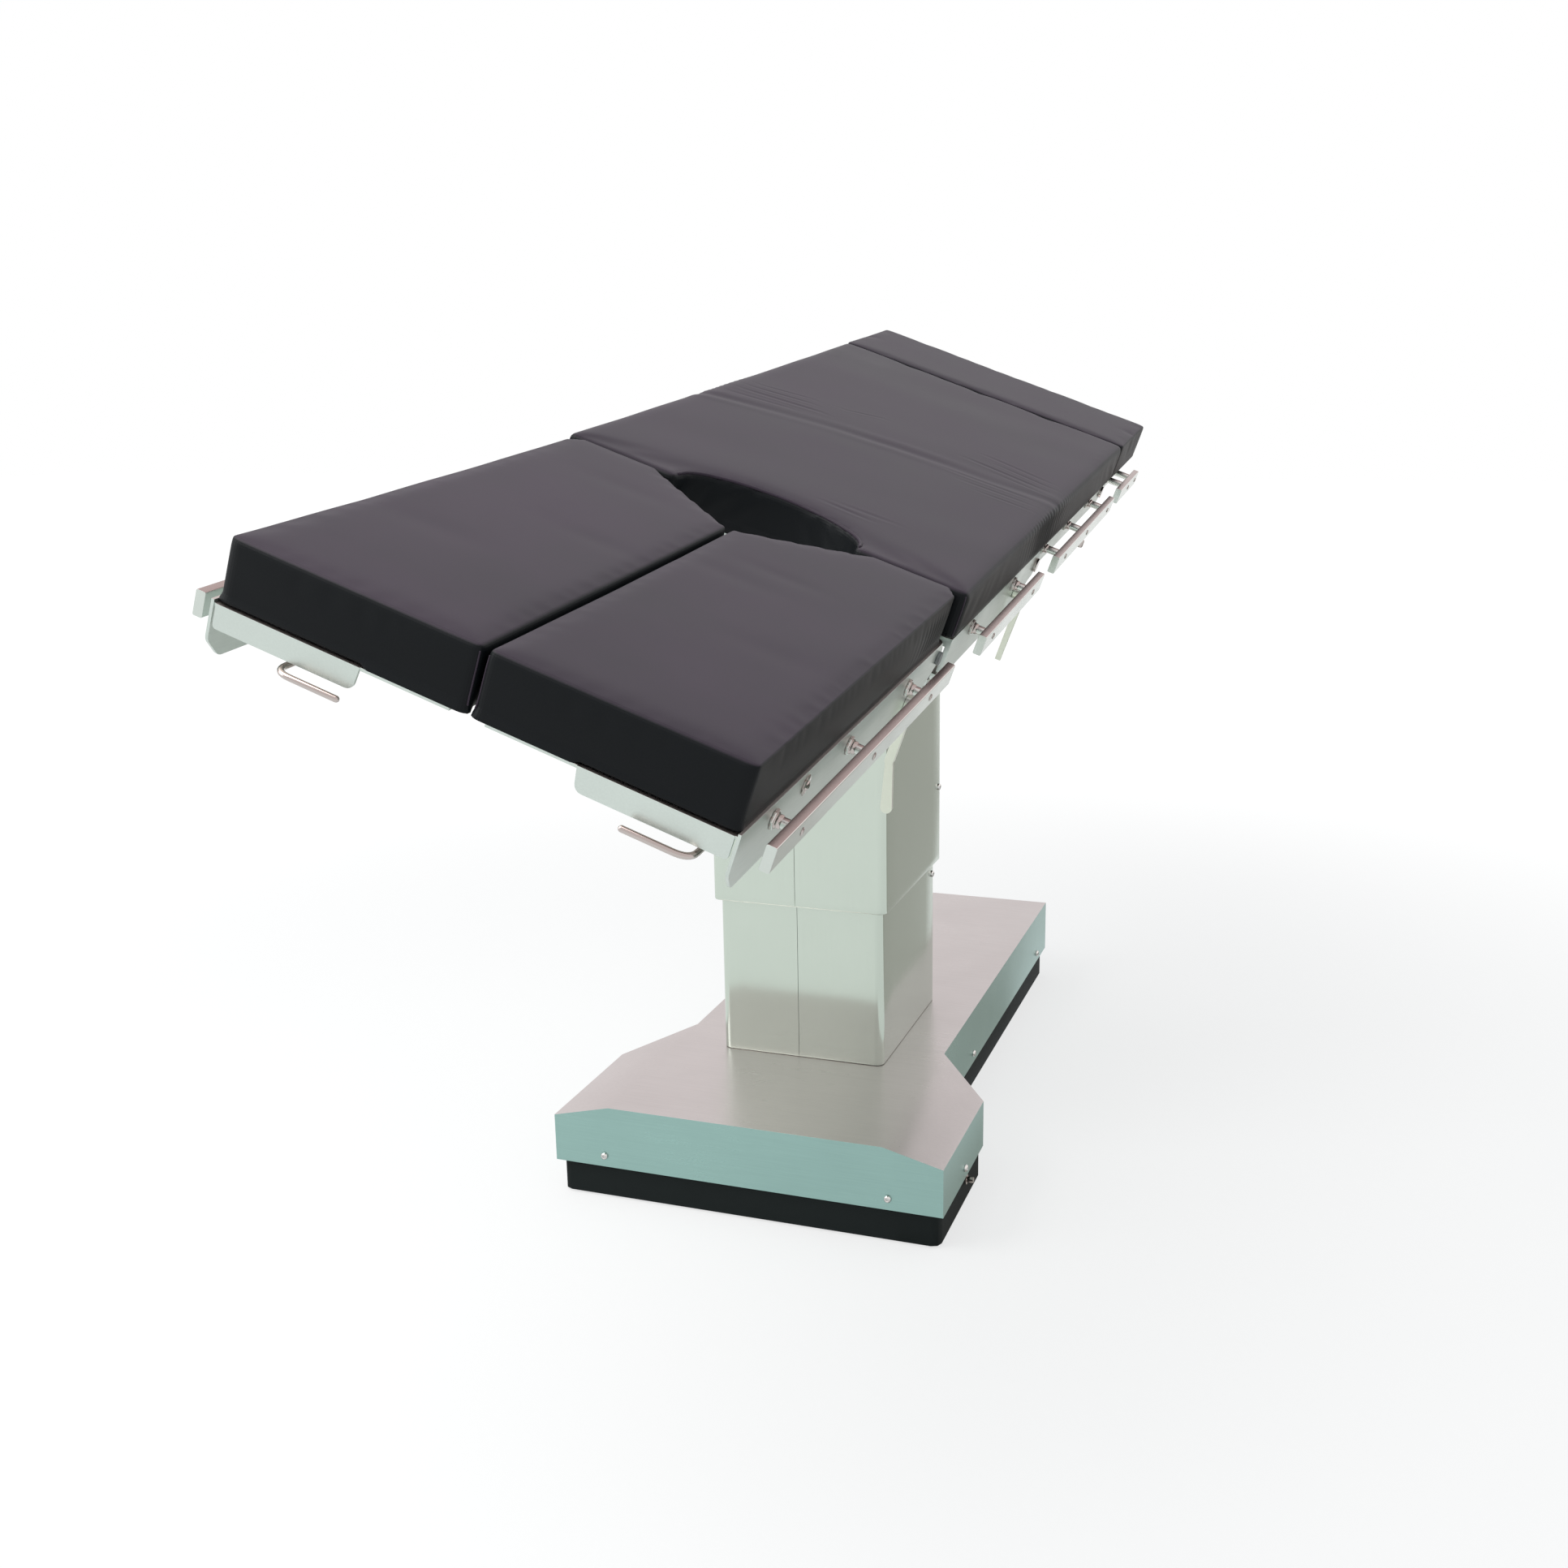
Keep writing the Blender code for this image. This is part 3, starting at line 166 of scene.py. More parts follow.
def add(tree, kind, inputs=(), **settings):
    """Adds a node, sets its properties, and feeds its inputs from {name or number: value or socket}."""
    node = tree.nodes.new(kind if "Node" in kind else f"ShaderNode{kind}")
    for name, value in settings.items():
        setattr(node, name, value)
    for label, value in dict(inputs).items():
        if isinstance(value, bpy.types.NodeSocket):
            tree.links.new(value, node.inputs[label])
        else:
            node.inputs[label].default_value = value
    return node


def maths(tree, operation, first, second=0.0):
    """A math node on two sockets or numbers; gives its output."""
    return add(tree, "Math", {0: first, 1: second}, operation=operation).outputs[0]


def blended(tree, share, first, second):
    """A colour mix of two colours by a share; gives its output."""
    return add(tree, "Mix", {0: share, 6: first, 7: second}, data_type="RGBA").outputs[2]


def smooth_range(tree, value, low, high, start=0.0, end=1.0):
    """start + (end - start) (3 t^2 - 2 t^3) with t = (value - low) / (high - low), held between 0 and 1."""
    sides = {"Value": value, "From Min": low, "From Max": high, "To Min": start, "To Max": end}
    return add(tree, "MapRange", sides, interpolation_type="SMOOTHSTEP").outputs[0]


def seen_directly(tree):
    """An output that is 1 for camera, mirror and glass rays, and 0 for rays that carry light."""
    ray = add(tree, "LightPath").outputs
    mirrored = maths(tree, "MAXIMUM", ray["Is Camera Ray"], ray["Is Glossy Ray"])
    return maths(tree, "MAXIMUM", mirrored, ray["Is Transmission Ray"])


world = bpy.data.worlds.new("white_room")
scene.world = world
world.use_nodes = True
tree = world.node_tree
tree.nodes.clear()
dim = add(tree, "Background", {"Color": (0.90, 0.93, 0.95, 1), "Strength": 0.62})
white = add(tree, "Background", {"Color": (1, 1, 1, 1), "Strength": 1.0})
mix = add(tree, "MixShader", {0: seen_directly(tree), 1: dim.outputs[0], 2: white.outputs[0]})
add(tree, "OutputWorld", {"Surface": mix.outputs[0]})

# %% [markdown]
# The floor is one big sheet. Near the table it is mostly its own pale paint, so the shadow under the
# base stays. Further out it glows for rays that are seen directly, and melts into the white of the room.


# %% A pale floor
def mesh_object(name, points, faces, smooth=True):
    """A mesh object from an (n, 3) array of points and rows of point numbers."""
    mesh = bpy.data.meshes.new(name)
    mesh.from_pydata(np.asarray(points, float).reshape(-1, 3).tolist(), [], [list(f) for f in faces])
    mesh.polygons.foreach_set("use_smooth", np.full(len(mesh.polygons), smooth))
    mesh.update()
    made = bpy.data.objects.new(name, mesh)
    scene.collection.objects.link(made)
    return made


def bare_material(name):
    """A material without nodes, and its tree."""
    made = bpy.data.materials.new(name)
    made.use_nodes = True
    made.node_tree.nodes.clear()
    return made, made.node_tree


def surfaced(tree, shader):
    """Ends a material's tree with a shader."""
    add(tree, "OutputMaterial", {"Surface": shader.outputs[0]})


FLOOR_SIDE = 14.0
corners = [(x * FLOOR_SIDE, y * FLOOR_SIDE, 0) for x, y in ((-1, -1), (1, -1), (1, 1), (-1, 1))]
floor = mesh_object("floor", corners, [(0, 1, 2, 3)], False)
floor_paint, tree = bare_material("floor_paint")
matt = add(tree, "BsdfDiffuse", {"Color": (0.86, 0.87, 0.87, 1)})
glow = add(tree, "Emission", {"Color": (1, 1, 1, 1), "Strength": 1.06})
away = add(tree, "VectorMath", {0: add(tree, "TexCoord").outputs["Object"]}, operation="LENGTH")
share = smooth_range(tree, away.outputs["Value"], 1.0, 3.0, 0.66, 1.0)
share = maths(tree, "MULTIPLY", seen_directly(tree), share)
surfaced(tree, add(tree, "MixShader", {0: share, 1: matt.outputs[0], 2: glow.outputs[0]}))
floor.data.materials.append(floor_paint)

# %% [markdown]
# In a room that is white all round, polished faces would show no form. Photographers put a grey card
# where only one set of faces mirrors it. Followed backwards from the lens, the mirror rays of the
# column's right side and of the skirt below it come down on the floor behind the table, further out the
# higher they start. So the card lies there, and only mirror rays meet it: it paints a grey reflection on those faces.
# The rays of the rails land a hand's breadth to the left of it and stay bright. The far end of the card is a little
# pink, a painted reflection that warms the column where it is under the seat.

# %% A grey card for the mirrors
CARD_Z = 0.003
CARD_ROWS = [(-0.30, 0.19, 0.33), (0.45, 0.19, 0.33), (0.55, 0.19, 1.00), (0.85, 0.26, 1.60), (1.30, 0.36, 2.20),
             (2.10, 0.46, 2.60), (3.00, 0.66, 3.00), (4.40, 0.95, 3.40), (5.60, 1.20, 3.80)]
points = [(x, y, CARD_Z) for y, near, far in CARD_ROWS for x in (near, far)]
card = mesh_object("grey_card", points, [(i, i + 1, i + 3, i + 2) for i in range(0, len(points) - 2, 2)])
card_grey, tree = bare_material("card_grey")
apart = add(tree, "SeparateXYZ", {0: add(tree, "TexCoord").outputs["Object"]})
far = add(tree, "MapRange", {"Value": apart.outputs["Y"], "From Min": 3.4, "From Max": 4.6}).outputs[0]
# Painted reflection: grey near the table, pink at the far end.
tone = blended(tree, far, (0.45, 0.44, 0.41, 1), (0.72, 0.58, 0.55, 1))
surfaced(tree, add(tree, "Emission", {"Color": tone}))
card.data.materials.append(card_grey)
card.visible_camera = card.visible_diffuse = card.visible_shadow = card.visible_transmission = False
print("grey card on", len(CARD_ROWS) - 1, "strips of floor")

# %% [markdown]
# ## Shared finishes as node groups
# Sheet steel on this table is brushed: a belt leaves thousands of fine parallel scratches, so the
# surface is smooth along the belt and rough across it, and hands leave cloudier patches on it. Both
# come from noise. Noise stretched far more along one axis than the others is a brushed grain, and slow
# noise is the clouding, which darkens the steel in patches; on the trays it is made strong and stands for painted
# reflections as well as handling marks. Several steels share the effect, so it is a group with named sockets, built
# once. The shader itself stays in each material.


# %% The brushed grain group
def shader_group(name, inputs):
    """A shader node group with input sockets from {name: default}; gives it and those sockets."""
    kinds = {3: "Vector", 4: "Color"}
    group = bpy.data.node_groups.new(name, "ShaderNodeTree")
    for label, value in inputs.items():
        kind = kinds[len(value)] if isinstance(value, tuple) else "Float"
        group.interface.new_socket(label, in_out="INPUT", socket_type=f"NodeSocket{kind}").default_value = value
    return group, add(group, "NodeGroupInput").outputs


def closed(group, **results):
    """Gives a group an output for each named socket."""
    kinds = {"Color": "Color", "Roughness": "Float", "Normal": "Vector"}
    for label in results:
        group.interface.new_socket(label, in_out="OUTPUT", socket_type=f"NodeSocket{kinds[label]}")
    add(group, "NodeGroupOutput", results)
    print("group", group.name, "with", len(group.nodes), "nodes")


def noise(tree, vector, scale, detail=3.0, roughness=0.55):
    """A noise texture on a vector socket; gives its value, about 0.5 on average."""
    inputs = {"Vector": vector, "Scale": scale, "Detail": detail, "Roughness": roughness}
    return add(tree, "TexNoise", inputs).outputs[0]


def spread(tree, value, gain):
    """gain (value - 0.5)."""
    return maths(tree, "MULTIPLY", maths(tree, "SUBTRACT", value, 0.5), gain)


def held_sum(tree, first, second):
    """first + second, held between 0 and 1."""
    total = maths(tree, "ADD", first, second)
    total.node.use_clamp = True
    return total


def bumped(tree, strength, distance, height):
    """A bump node; gives its normal."""
    return add(tree, "Bump", {"Strength": strength, "Distance": distance, "Height": height}).outputs[0]


GRAIN, enter = shader_group("brushed_grain", {
    "Place": (0.0, 0.0, 0.0), "Stretch": (20.0, 900.0, 900.0), "Steel": (0.6, 0.6, 0.6, 1.0),
    "Shade": (0.4, 0.4, 0.4, 1.0), "Streaks": 0.5, "Clouds": 0.5, "Roughness": 0.35, "Relief": 0.2})
stretch = add(GRAIN, "VectorMath", {0: enter["Place"], 1: enter["Stretch"]}, operation="MULTIPLY")
streak = noise(GRAIN, stretch.outputs[0], 1.0, 4.0, 0.6)
streak_share = spread(GRAIN, streak, enter["Streaks"])
cloud_share = spread(GRAIN, noise(GRAIN, enter["Place"], 7.0, 4.0, 0.6), enter["Clouds"])
shade = held_sum(GRAIN, maths(GRAIN, "ADD", streak_share, cloud_share), 0.32)
rough = maths(GRAIN, "ADD", enter["Roughness"], maths(GRAIN, "MULTIPLY", streak_share, 0.25))
closed(GRAIN, Color=blended(GRAIN, shade, enter["Steel"], enter["Shade"]),
       Roughness=maths(GRAIN, "ADD", rough, maths(GRAIN, "MULTIPLY", cloud_share, 0.30)),
       Normal=bumped(GRAIN, enter["Relief"], 0.0002, streak))

# %% [markdown]
# The level faces of the table look warmer and darker than the upright ones, which mirror the pale green
# of an operating room. These reflections are painted in: a second group mixes two colours by how far a face
# looks along a given direction. The rounded edge between them faces halfway, and there it gets a painted
# highlight. The group reads the piece's own normal, so the painted reflection stays with the piece when the table
# moves.

# %% The facing tint group
FACING, enter = shader_group("painted_reflection_by_facing", {
    "Facing": (0.0, 0.0, 0.0), "Along": (0.0, 0.0, 1.0), "Level face": (0.5, 0.5, 0.5, 1.0),
    "Upright face": (0.7, 0.7, 0.7, 1.0), "Painted edge highlight": (0.8, 0.8, 0.8, 1.0)})
# Painted reflection: faces that look along the direction get the level colour, the rest the upright one.
dot = add(FACING, "VectorMath", {0: enter["Facing"], 1: enter["Along"]}, operation="DOT_PRODUCT").outputs["Value"]
faces = blended(FACING, smooth_range(FACING, dot, 0.35, 0.85), enter["Upright face"], enter["Level face"])
# Painted highlight on faces that look halfway, as the rounded edges do.
halfway = maths(FACING, "ABSOLUTE", maths(FACING, "SUBTRACT", dot, 0.56))
closed(FACING, Color=blended(FACING, smooth_range(FACING, halfway, 0.34, 0.20), faces, enter["Painted edge highlight"]))

# %% [markdown]
# Paint, cast iron, rubber and plastic aren't brushed. They share a fine speckle, slow clouding and a
# little dust, in different amounts: strong relief for a casting, hardly any for enamel.

# %% The speckle group
SPECKLE, enter = shader_group("speckle_and_dust", {
    "Place": (0.0, 0.0, 0.0), "Colour": (0.1, 0.1, 0.1, 1.0), "Dust": (0.3, 0.3, 0.3, 1.0), "Dustiness": 0.2,
    "Grain": 900.0, "Roughness": 0.5, "Relief": 0.2})
fine = noise(SPECKLE, enter["Place"], enter["Grain"], 2.0, 0.6)
slow = noise(SPECKLE, enter["Place"], 9.0, 5.0, 0.62)
dusty = maths(SPECKLE, "MULTIPLY", held_sum(SPECKLE, spread(SPECKLE, slow, 2.4), 0.4), enter["Dustiness"])
closed(SPECKLE, Color=blended(SPECKLE, dusty, enter["Colour"], enter["Dust"]),
       Roughness=maths(SPECKLE, "ADD", enter["Roughness"], maths(SPECKLE, "MULTIPLY", dusty, 0.35)),
       Normal=bumped(SPECKLE, enter["Relief"], 0.0003, fine))

# %% [markdown]
# ## The metals
# A colour that is measured on a screen has to be turned into the linear light that a shader works with.
# After that each steel is one line: its colours on upright and on level faces, with the room's reflection
# painted in, how far the grain is stretched along each axis, its roughness, and what differs from the common recipe.


# %% Steel and paint recipes
def from_screen(red, green, blue):
    """Linear colour of a screen colour: c = ((s / 255 + 0.055) / 1.055) ** 2.4 above the toe."""
    scaled = np.array([red, green, blue]) / 255
    linear = np.where(scaled > 0.04045, ((scaled + 0.055) / 1.055) ** 2.4, scaled / 12.92)
    return (*map(float, linear), 1.0)


def finished(tree, group, inputs, metallic, shine=0.5):
    """Feeds a group node, and a metal or paint shader from it."""
    effect = add(tree, "Group", inputs, node_tree=group).outputs
    surfaced(tree, add(tree, "BsdfPrincipled", {
        "Metallic": metallic, "Specular IOR Level": shine, "Base Color": effect["Color"],
        "Roughness": effect["Roughness"], "Normal": effect["Normal"]}))


def steel(name, upright_face, level_face, stretch, roughness, metallic=0.9, streaks=0.45, clouds=0.5,
          relief=0.12, along=(0.0, 0.0, 1.0), edge=(236, 230, 226)):
    """Brushed steel with painted reflections: one colour for faces that look along a direction, one for the rest, and
    a painted highlight on the edge.
    """
    made, tree = bare_material(name)
    where = add(tree, "TexCoord").outputs
    # The colour carries painted reflections by facing and a painted highlight on rounded edges.
    tint = add(tree, "Group", {
        "Facing": where["Normal"], "Along": along, "Upright face": from_screen(*upright_face),
        "Level face": from_screen(*level_face), "Painted edge highlight": from_screen(*edge)}, node_tree=FACING).outputs[0]
    darker = add(tree, "HueSaturation", {"Value": 0.72, "Color": tint}).outputs[0]
    finished(tree, GRAIN, {"Place": where["Object"], "Stretch": stretch, "Steel": tint, "Shade": darker,
                           "Streaks": streaks, "Clouds": clouds, "Roughness": roughness, "Relief": relief}, metallic)
    return made


def speckled(name, colour, dust, dustiness, grain, roughness, relief, metallic=0.0, shine=0.5):
    """Paint, rubber, plastic or a casting from the speckle group."""
    made, tree = bare_material(name)
    finished(tree, SPECKLE, {
        "Place": add(tree, "TexCoord").outputs["Object"], "Colour": from_screen(*colour), "Dust": from_screen(*dust),
        "Dustiness": dustiness, "Grain": grain, "Roughness": roughness, "Relief": relief}, metallic, shine)
    return made


UP = tuple(TOP[:3, 2])
# Upright and level colours are painted reflections of the room on the steel; the edge colour is a painted highlight.
cover_steel = steel("cover_steel", (156, 190, 184), (208, 198, 197), (14, 700, 700), 0.30, clouds=0.35)
column_steel = steel("column_steel", (206, 217, 206), (206, 200, 190), (500, 500, 8), 0.13,
                     streaks=0.16, clouds=0.22, relief=0.05)
rail_steel = steel("rail_steel", (214, 222, 216), (176, 152, 148), (700, 9, 700), 0.22,
                   streaks=0.3, clouds=0.3, relief=0.06, along=UP)
# Strong clouding on the trays: handling marks and painted reflections.
tray_steel = steel("tray_steel", (210, 220, 214), (204, 190, 186), (500, 14, 500), 0.34,
                   streaks=0.4, clouds=0.6, relief=0.06, along=UP)
rod_steel = steel("rod_steel", (196, 188, 184), (176, 156, 150), (300, 300, 300), 0.16,
                  metallic=1.0, streaks=0.2, relief=0.03, along=UP, edge=(190, 176, 172))
lever_steel = steel("lever_steel", (226, 232, 216), (200, 196, 184), (300, 300, 40), 0.3,
                    metallic=0.7, streaks=0.15, relief=0.04, along=UP)
ground_steel = steel("ground_steel", (205, 205, 203), (205, 205, 203), (40, 40, 900), 0.14,
                     metallic=1.0, streaks=0.3, relief=0.05)
casting = speckled("casting", (120, 124, 126), (150, 146, 140), 0.3, 420.0, 0.5, 0.55, metallic=0.5)
frame_paint = speckled("frame_paint", (118, 124, 128), (160, 156, 150), 0.35, 700.0, 0.42, 0.2)
unit_paint = speckled("unit_paint", (150, 156, 162), (170, 166, 158), 0.3, 900.0, 0.4, 0.15)
plinth_rubber = speckled("plinth_rubber", (12, 20, 20), (46, 52, 52), 0.12, 1500.0, 0.7, 0.2, shine=0.2)
panel_laminate = speckled("panel_laminate", (104, 92, 82), (140, 128, 116), 0.25, 1100.0, 0.38, 0.1)
print("twelve metals, paints and rubbers")

# %% [markdown]
# ## Finishes for the solids that stay
# Most solids have the right shape already. They only lack the small radius that every real folded or
# sawn edge has, and which catches the light. Modifiers add it without touching the mesh: Weld joins the
# loose triangles, Decimate clears the flat faces, Bevel rounds the sharp edges, and a small geometry
# node tree shades gentle turns smoothly. Weighted Normal then lets the large faces decide, so a flat
# face stays flat up to its rounded edge.


# %% Soft edges for solids
def smooth_turns():
    """A geometry tree: faces are smooth, and an edge is sharp where its faces turn by over 35 degrees."""
    tree = bpy.data.node_groups.new("smooth_turns", "GeometryNodeTree")
    for in_out in ("INPUT", "OUTPUT"):
        tree.interface.new_socket("Mesh", in_out=in_out, socket_type="NodeSocketGeometry")
    mesh = add(tree, "NodeGroupInput").outputs[0]
    angle = add(tree, "GeometryNodeInputMeshEdgeAngle").outputs["Unsigned Angle"]
    gentle = add(tree, "FunctionNodeCompare", {0: angle, 1: math.radians(35)},
                 data_type="FLOAT", operation="LESS_THAN")
    faces = add(tree, "GeometryNodeSetShadeSmooth", {0: mesh}, domain="FACE")
    edges = add(tree, "GeometryNodeSetShadeSmooth", {0: faces.outputs[0], "Shade Smooth": gentle.outputs[0]},
                domain="EDGE")
    add(tree, "NodeGroupOutput", {0: edges.outputs[0]})
    return tree


SMOOTH = smooth_turns()
SAME_POINT = 0.00001


def modified(made, name, kind, **settings):
    """Adds a modifier and sets its properties."""
    modifier = made.modifiers.new(name, kind)
    for label, value in settings.items():
        setattr(modifier, label, value)
    return modifier


def finish_solid(made, finish, width):
    """Gives a CAD solid one material, and rounds its sharp edges by `width` metres, by modifiers only."""
    made.data.materials.clear()
    made.data.materials.append(finish)
    modified(made, "weld", "WELD", merge_threshold=SAME_POINT)
    if width:
        modified(made, "flat_faces", "DECIMATE", decimate_type="DISSOLVE", angle_limit=math.radians(0.5))
        modified(made, "eased_edges", "BEVEL", width=width, segments=2, limit_method="ANGLE",
                 angle_limit=math.radians(40))
    modified(made, "smooth_turns", "NODES", node_group=SMOOTH)
    modified(made, "even_shading", "WEIGHTED_NORMAL", keep_sharp=True, weight=100)


SIDES = (("left", -1), ("right", 1))
# Finish, radius of the edges in metres, and how the names of its solids start.
LOOKS = ((cover_steel, 0.0020, "base_cover"), (plinth_rubber, 0.0012, "base_plinth"),
         (plinth_rubber, 0, "base_foot castor_wheel"), (unit_paint, 0.0010, "hydraulic_power_unit"),
         (frame_paint, 0.0010, "mast_outer"), (frame_paint, 0.0006, "base_frame castor_carriage"),
         (frame_paint, 0.0003, "castor_fork"), (frame_paint, 0, "lift_cylinder"),
         (ground_steel, 0.0010, "mast_inner"), (ground_steel, 0, "lift_piston_rod tilt_shaft"),
         (casting, 0.0012, "column_head tilt_saddle"),
         (casting, 0, "leg_swivel"), (rod_steel, 0, "earth_stud back_hinge_shaft head_hinge_shaft"),
         (tray_steel, 0.0005, "seat_frame"), (tray_steel, 0.0007, "back_frame"), (tray_steel, 0.0006, "head_frame"),
         (tray_steel, 0.0010, "leg_frame"), (panel_laminate, 0.0005, "seat_deck back_deck"),
         (lever_steel, 0.0007, "side_lock_lever"), (lever_steel, 0.0005, "leg_clamp_lever"),
         (rail_steel, 0.0005, "leg_rail seat_rail back_rail head_rail"))
count = 0
for finish, width, starts in LOOKS:
    for name, made in frame["nodes"].items():
        if name.startswith(tuple(starts.split())):
            finish_solid(made, finish, width)
            count += 1
print(count, "solids keep their shape")

# %% [markdown]
# ## Column covers
# Each cover of the telescoping column is a U of 2 mm sheet with a rounded bend at two corners, and two
# of them meet in a seam. The solid has five flats in each bend. A path carried upwards gives a true
# bend: the path is a rounded rectangle cut in half at the seam, and its second parameter is height.
# The ends roll inwards a little, as a deburred edge does, so they show a bright line.


# %% Surfaces on a grid
def grid_faces(rows, columns, close_columns=False):
    """Quads (i, j), (i, j + 1), (i + 1, j + 1), (i + 1, j) of a grid whose point (i, j) is i columns + j."""
    i = np.arange(rows - 1)[:, None]
    j = np.arange(columns if close_columns else columns - 1)[None, :]
    here, below, beside = i * columns, (i + 1) * columns, (j + 1) % columns
    return np.stack(np.broadcast_arrays(here + j, here + beside, below + beside, below + j), -1).reshape(-1, 4)


def carried(points, matrix):
    """Points (..., 3) through a 4 x 4 matrix: p' = R p + t."""
    return points @ matrix[:3, :3].T + matrix[:3, 3]


def placed(made, matrix):
    """Moves a mesh from a drawing board to the room."""
    made.data.transform(Matrix(matrix.tolist()))


def tube(name, wires):
    """One closed mesh of several grids of rings."""
    points = [w.reshape(-1, 3) for w in wires]
    starts = np.cumsum([0, *map(len, points[:-1])])
    faces = [grid_faces(*w.shape[:2], close_columns=True) + start for w, start in zip(wires, starts)]
    return tidied(mesh_object(name, np.vstack(points), np.vstack(faces)))


def tidied(made):
    """Merges points that coincide, as at a pole or a seam, and turns every face outwards; smooth shading."""
    shape = bmesh.new()
    shape.from_mesh(made.data)
    bmesh.ops.remove_doubles(shape, verts=shape.verts, dist=1e-6)
    bmesh.ops.dissolve_degenerate(shape, edges=shape.edges, dist=1e-7)
    bmesh.ops.recalc_face_normals(shape, faces=shape.faces)
    shape.to_mesh(made.data)
    shape.free()
    made.data.polygons.foreach_set("use_smooth", np.ones(len(made.data.polygons), bool))
    return made


def dressed(made, finish, body):
    """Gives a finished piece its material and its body."""
    made.data.materials.append(finish)
    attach(made, body)


# %% Half covers with true bends
SHEET = 0.0018
BEND = 0.012
SEAM = -0.004
ROLL_IN = 0.0012
PLAIN = 0.01


def half_ring(half_x, half_y, side):
    """Half of a rounded rectangle: seam, bend c + r (cos t, sin t), flat side, bend, seam."""
    turn = np.linspace(0, math.pi / 2, 13)
    arc = BEND * np.column_stack([np.sin(turn), -np.cos(turn)])
    front = arc + (half_x - BEND, -(half_y - BEND))
    start = np.array([[side * SEAM + across, -half_y] for across in (0.0003, 0.0010, 0.0300, 0.0700)])
    flat = np.linspace(0, 1, 7)[1:-1, None]
    rear = front[::-1] * (1, -1)
    ring = np.vstack([front, front[-1] + flat * (rear[0] - front[-1]), rear])
    ring = np.vstack([start, ring, start[::-1] * (1, -1)])
    return ring * (side, 1)


def half_cover(name, half_x, half_y, low, high, side):
    """A sheet p(s, z) = ring(s) at height z, whose two ends roll in by r (1 - cos t) over r sin t."""
    ring = half_ring(half_x, half_y, side)
    along = np.gradient(ring, axis=0)
    outward = unit(np.column_stack([along[:, 1], -along[:, 0]])) * side
    t = np.linspace(0, math.pi / 2, 5)
    depth = ROLL_IN * (1 - np.cos(t))
    rise = ROLL_IN * np.sin(t)
    wall = np.linspace(low + PLAIN, high - PLAIN, 9)
    heights = np.concatenate([(low + ROLL_IN - rise)[::-1], wall, high - ROLL_IN + rise])
    inwards = np.concatenate([depth[::-1], 0 * wall, depth])
    points = np.empty((len(heights), len(ring), 3))
    points[..., :2] = ring[None] - inwards[:, None, None] * outward[None]
    points[..., 2] = heights[:, None]
    faces = grid_faces(*points.shape[:2])
    # On the left the path runs the other way, so the faces are turned over.
    made = mesh_object(name, carried(points, FOOT), faces if side > 0 else faces[:, [0, 3, 2, 1]])
    modified(made, "sheet", "SOLIDIFY", thickness=SHEET, offset=-1)
    modified(made, "smooth_turns", "NODES", node_group=SMOOTH)
    return made


for level, half_x, half_y, body in (("lower", 0.122, 0.143, "base"), ("upper", 0.130, 0.1515, "column")):
    for word, side in SIDES:
        node = f"{level}_column_cover_{word}"
        low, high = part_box(node)
        cover = half_cover(f"{level}_sleeve_{word}", half_x, half_y, low.z, high.z, side)
        dressed(cover, column_steel, body)
        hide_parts(node)
print("four half covers")

# %% [markdown]
# ## Release rods
# Under each leg tray a bent chromed rod frees the lock. It's a round wire on a path: a ring is carried
# along the path, and at both ends its radius falls as the side of a ball does, which rounds them off.


# %% Wires along a path
RISE = np.array([0.0, 0.0, 1.0])


def bent_path(corners, bend, rounds=9):
    """A path in one level plane whose corners follow c + a (1 - t)^2 + b t^2 with legs of length `bend`."""
    corners = np.asarray(corners, float)
    t = np.linspace(0, 1, rounds)[:, None]
    runs = [corners[:1]]
    for before, here, after in zip(corners, corners[1:], corners[2:]):
        a, b = before - here, after - here
        runs.append(here + bend * (unit(a) * (1 - t) ** 2 + unit(b) * t ** 2))
    return np.vstack([*runs, corners[-1:]])


def wire(path, radius, sides=20, beside=RISE):
    """Rings p + r (cos a, sin a) across the path; near an end r = R sin t where the path is R (1 - cos t) in."""
    path = np.asarray(path, float)
    t = np.linspace(0, math.pi / 2, 6)
    inwards = radius * (1 - np.cos(t))[:, None]
    start = path[0] + inwards * unit(path[1] - path[0])
    end = path[-1] + inwards * unit(path[-2] - path[-1])
    line = np.vstack([start, path[1:-1], end[::-1]])
    size = np.concatenate([np.sin(t), np.ones(len(path) - 2), np.sin(t)[::-1]]) * radius
    ahead = unit(np.gradient(line, axis=0))
    across = unit(np.cross(ahead, beside))
    a = np.linspace(0, 2 * math.pi, sides, endpoint=False)[None, :, None]
    ring = np.cos(a) * across[:, None] + np.sin(a) * np.cross(across, ahead)[:, None]
    return line[:, None] + size[:, None, None] * ring


ROD_X = {"left": 0.174, "right": 0.222}
ROD_REACH, ROD_Z, ROD_BACK, ROD_FRONT = 0.065, 0.115, -0.780, -1.118
ROD_RADIUS = 0.0031
for word, side in SIDES:
    x, tip = side * ROD_X[word], side * (ROD_X[word] - ROD_REACH)
    path = bent_path([(x, ROD_BACK, ROD_Z), (x, ROD_FRONT, ROD_Z), (tip, ROD_FRONT, ROD_Z)], 0.016)
    rod = tube(f"release_rod_{word}", [carried(wire(path, ROD_RADIUS), LEG)])
    dressed(rod, rod_steel, f"release_{word}")
    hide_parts(f"leg_release_rod_{word}")
print("two release rods")

# %% [markdown]
# ## Fasteners
# Bright screws, washers and collars tell the eye how big the table is. Each kind is drawn once, facing
# up: rings of points round an axis, with a radius and a height for each ring. A hexagon socket needs
# rings whose radius follows a hexagon, r = a / cos(angle to the middle of its side), and a star washer
# has a waved rim. All fasteners on one body are copies of those rings, joined in one mesh.


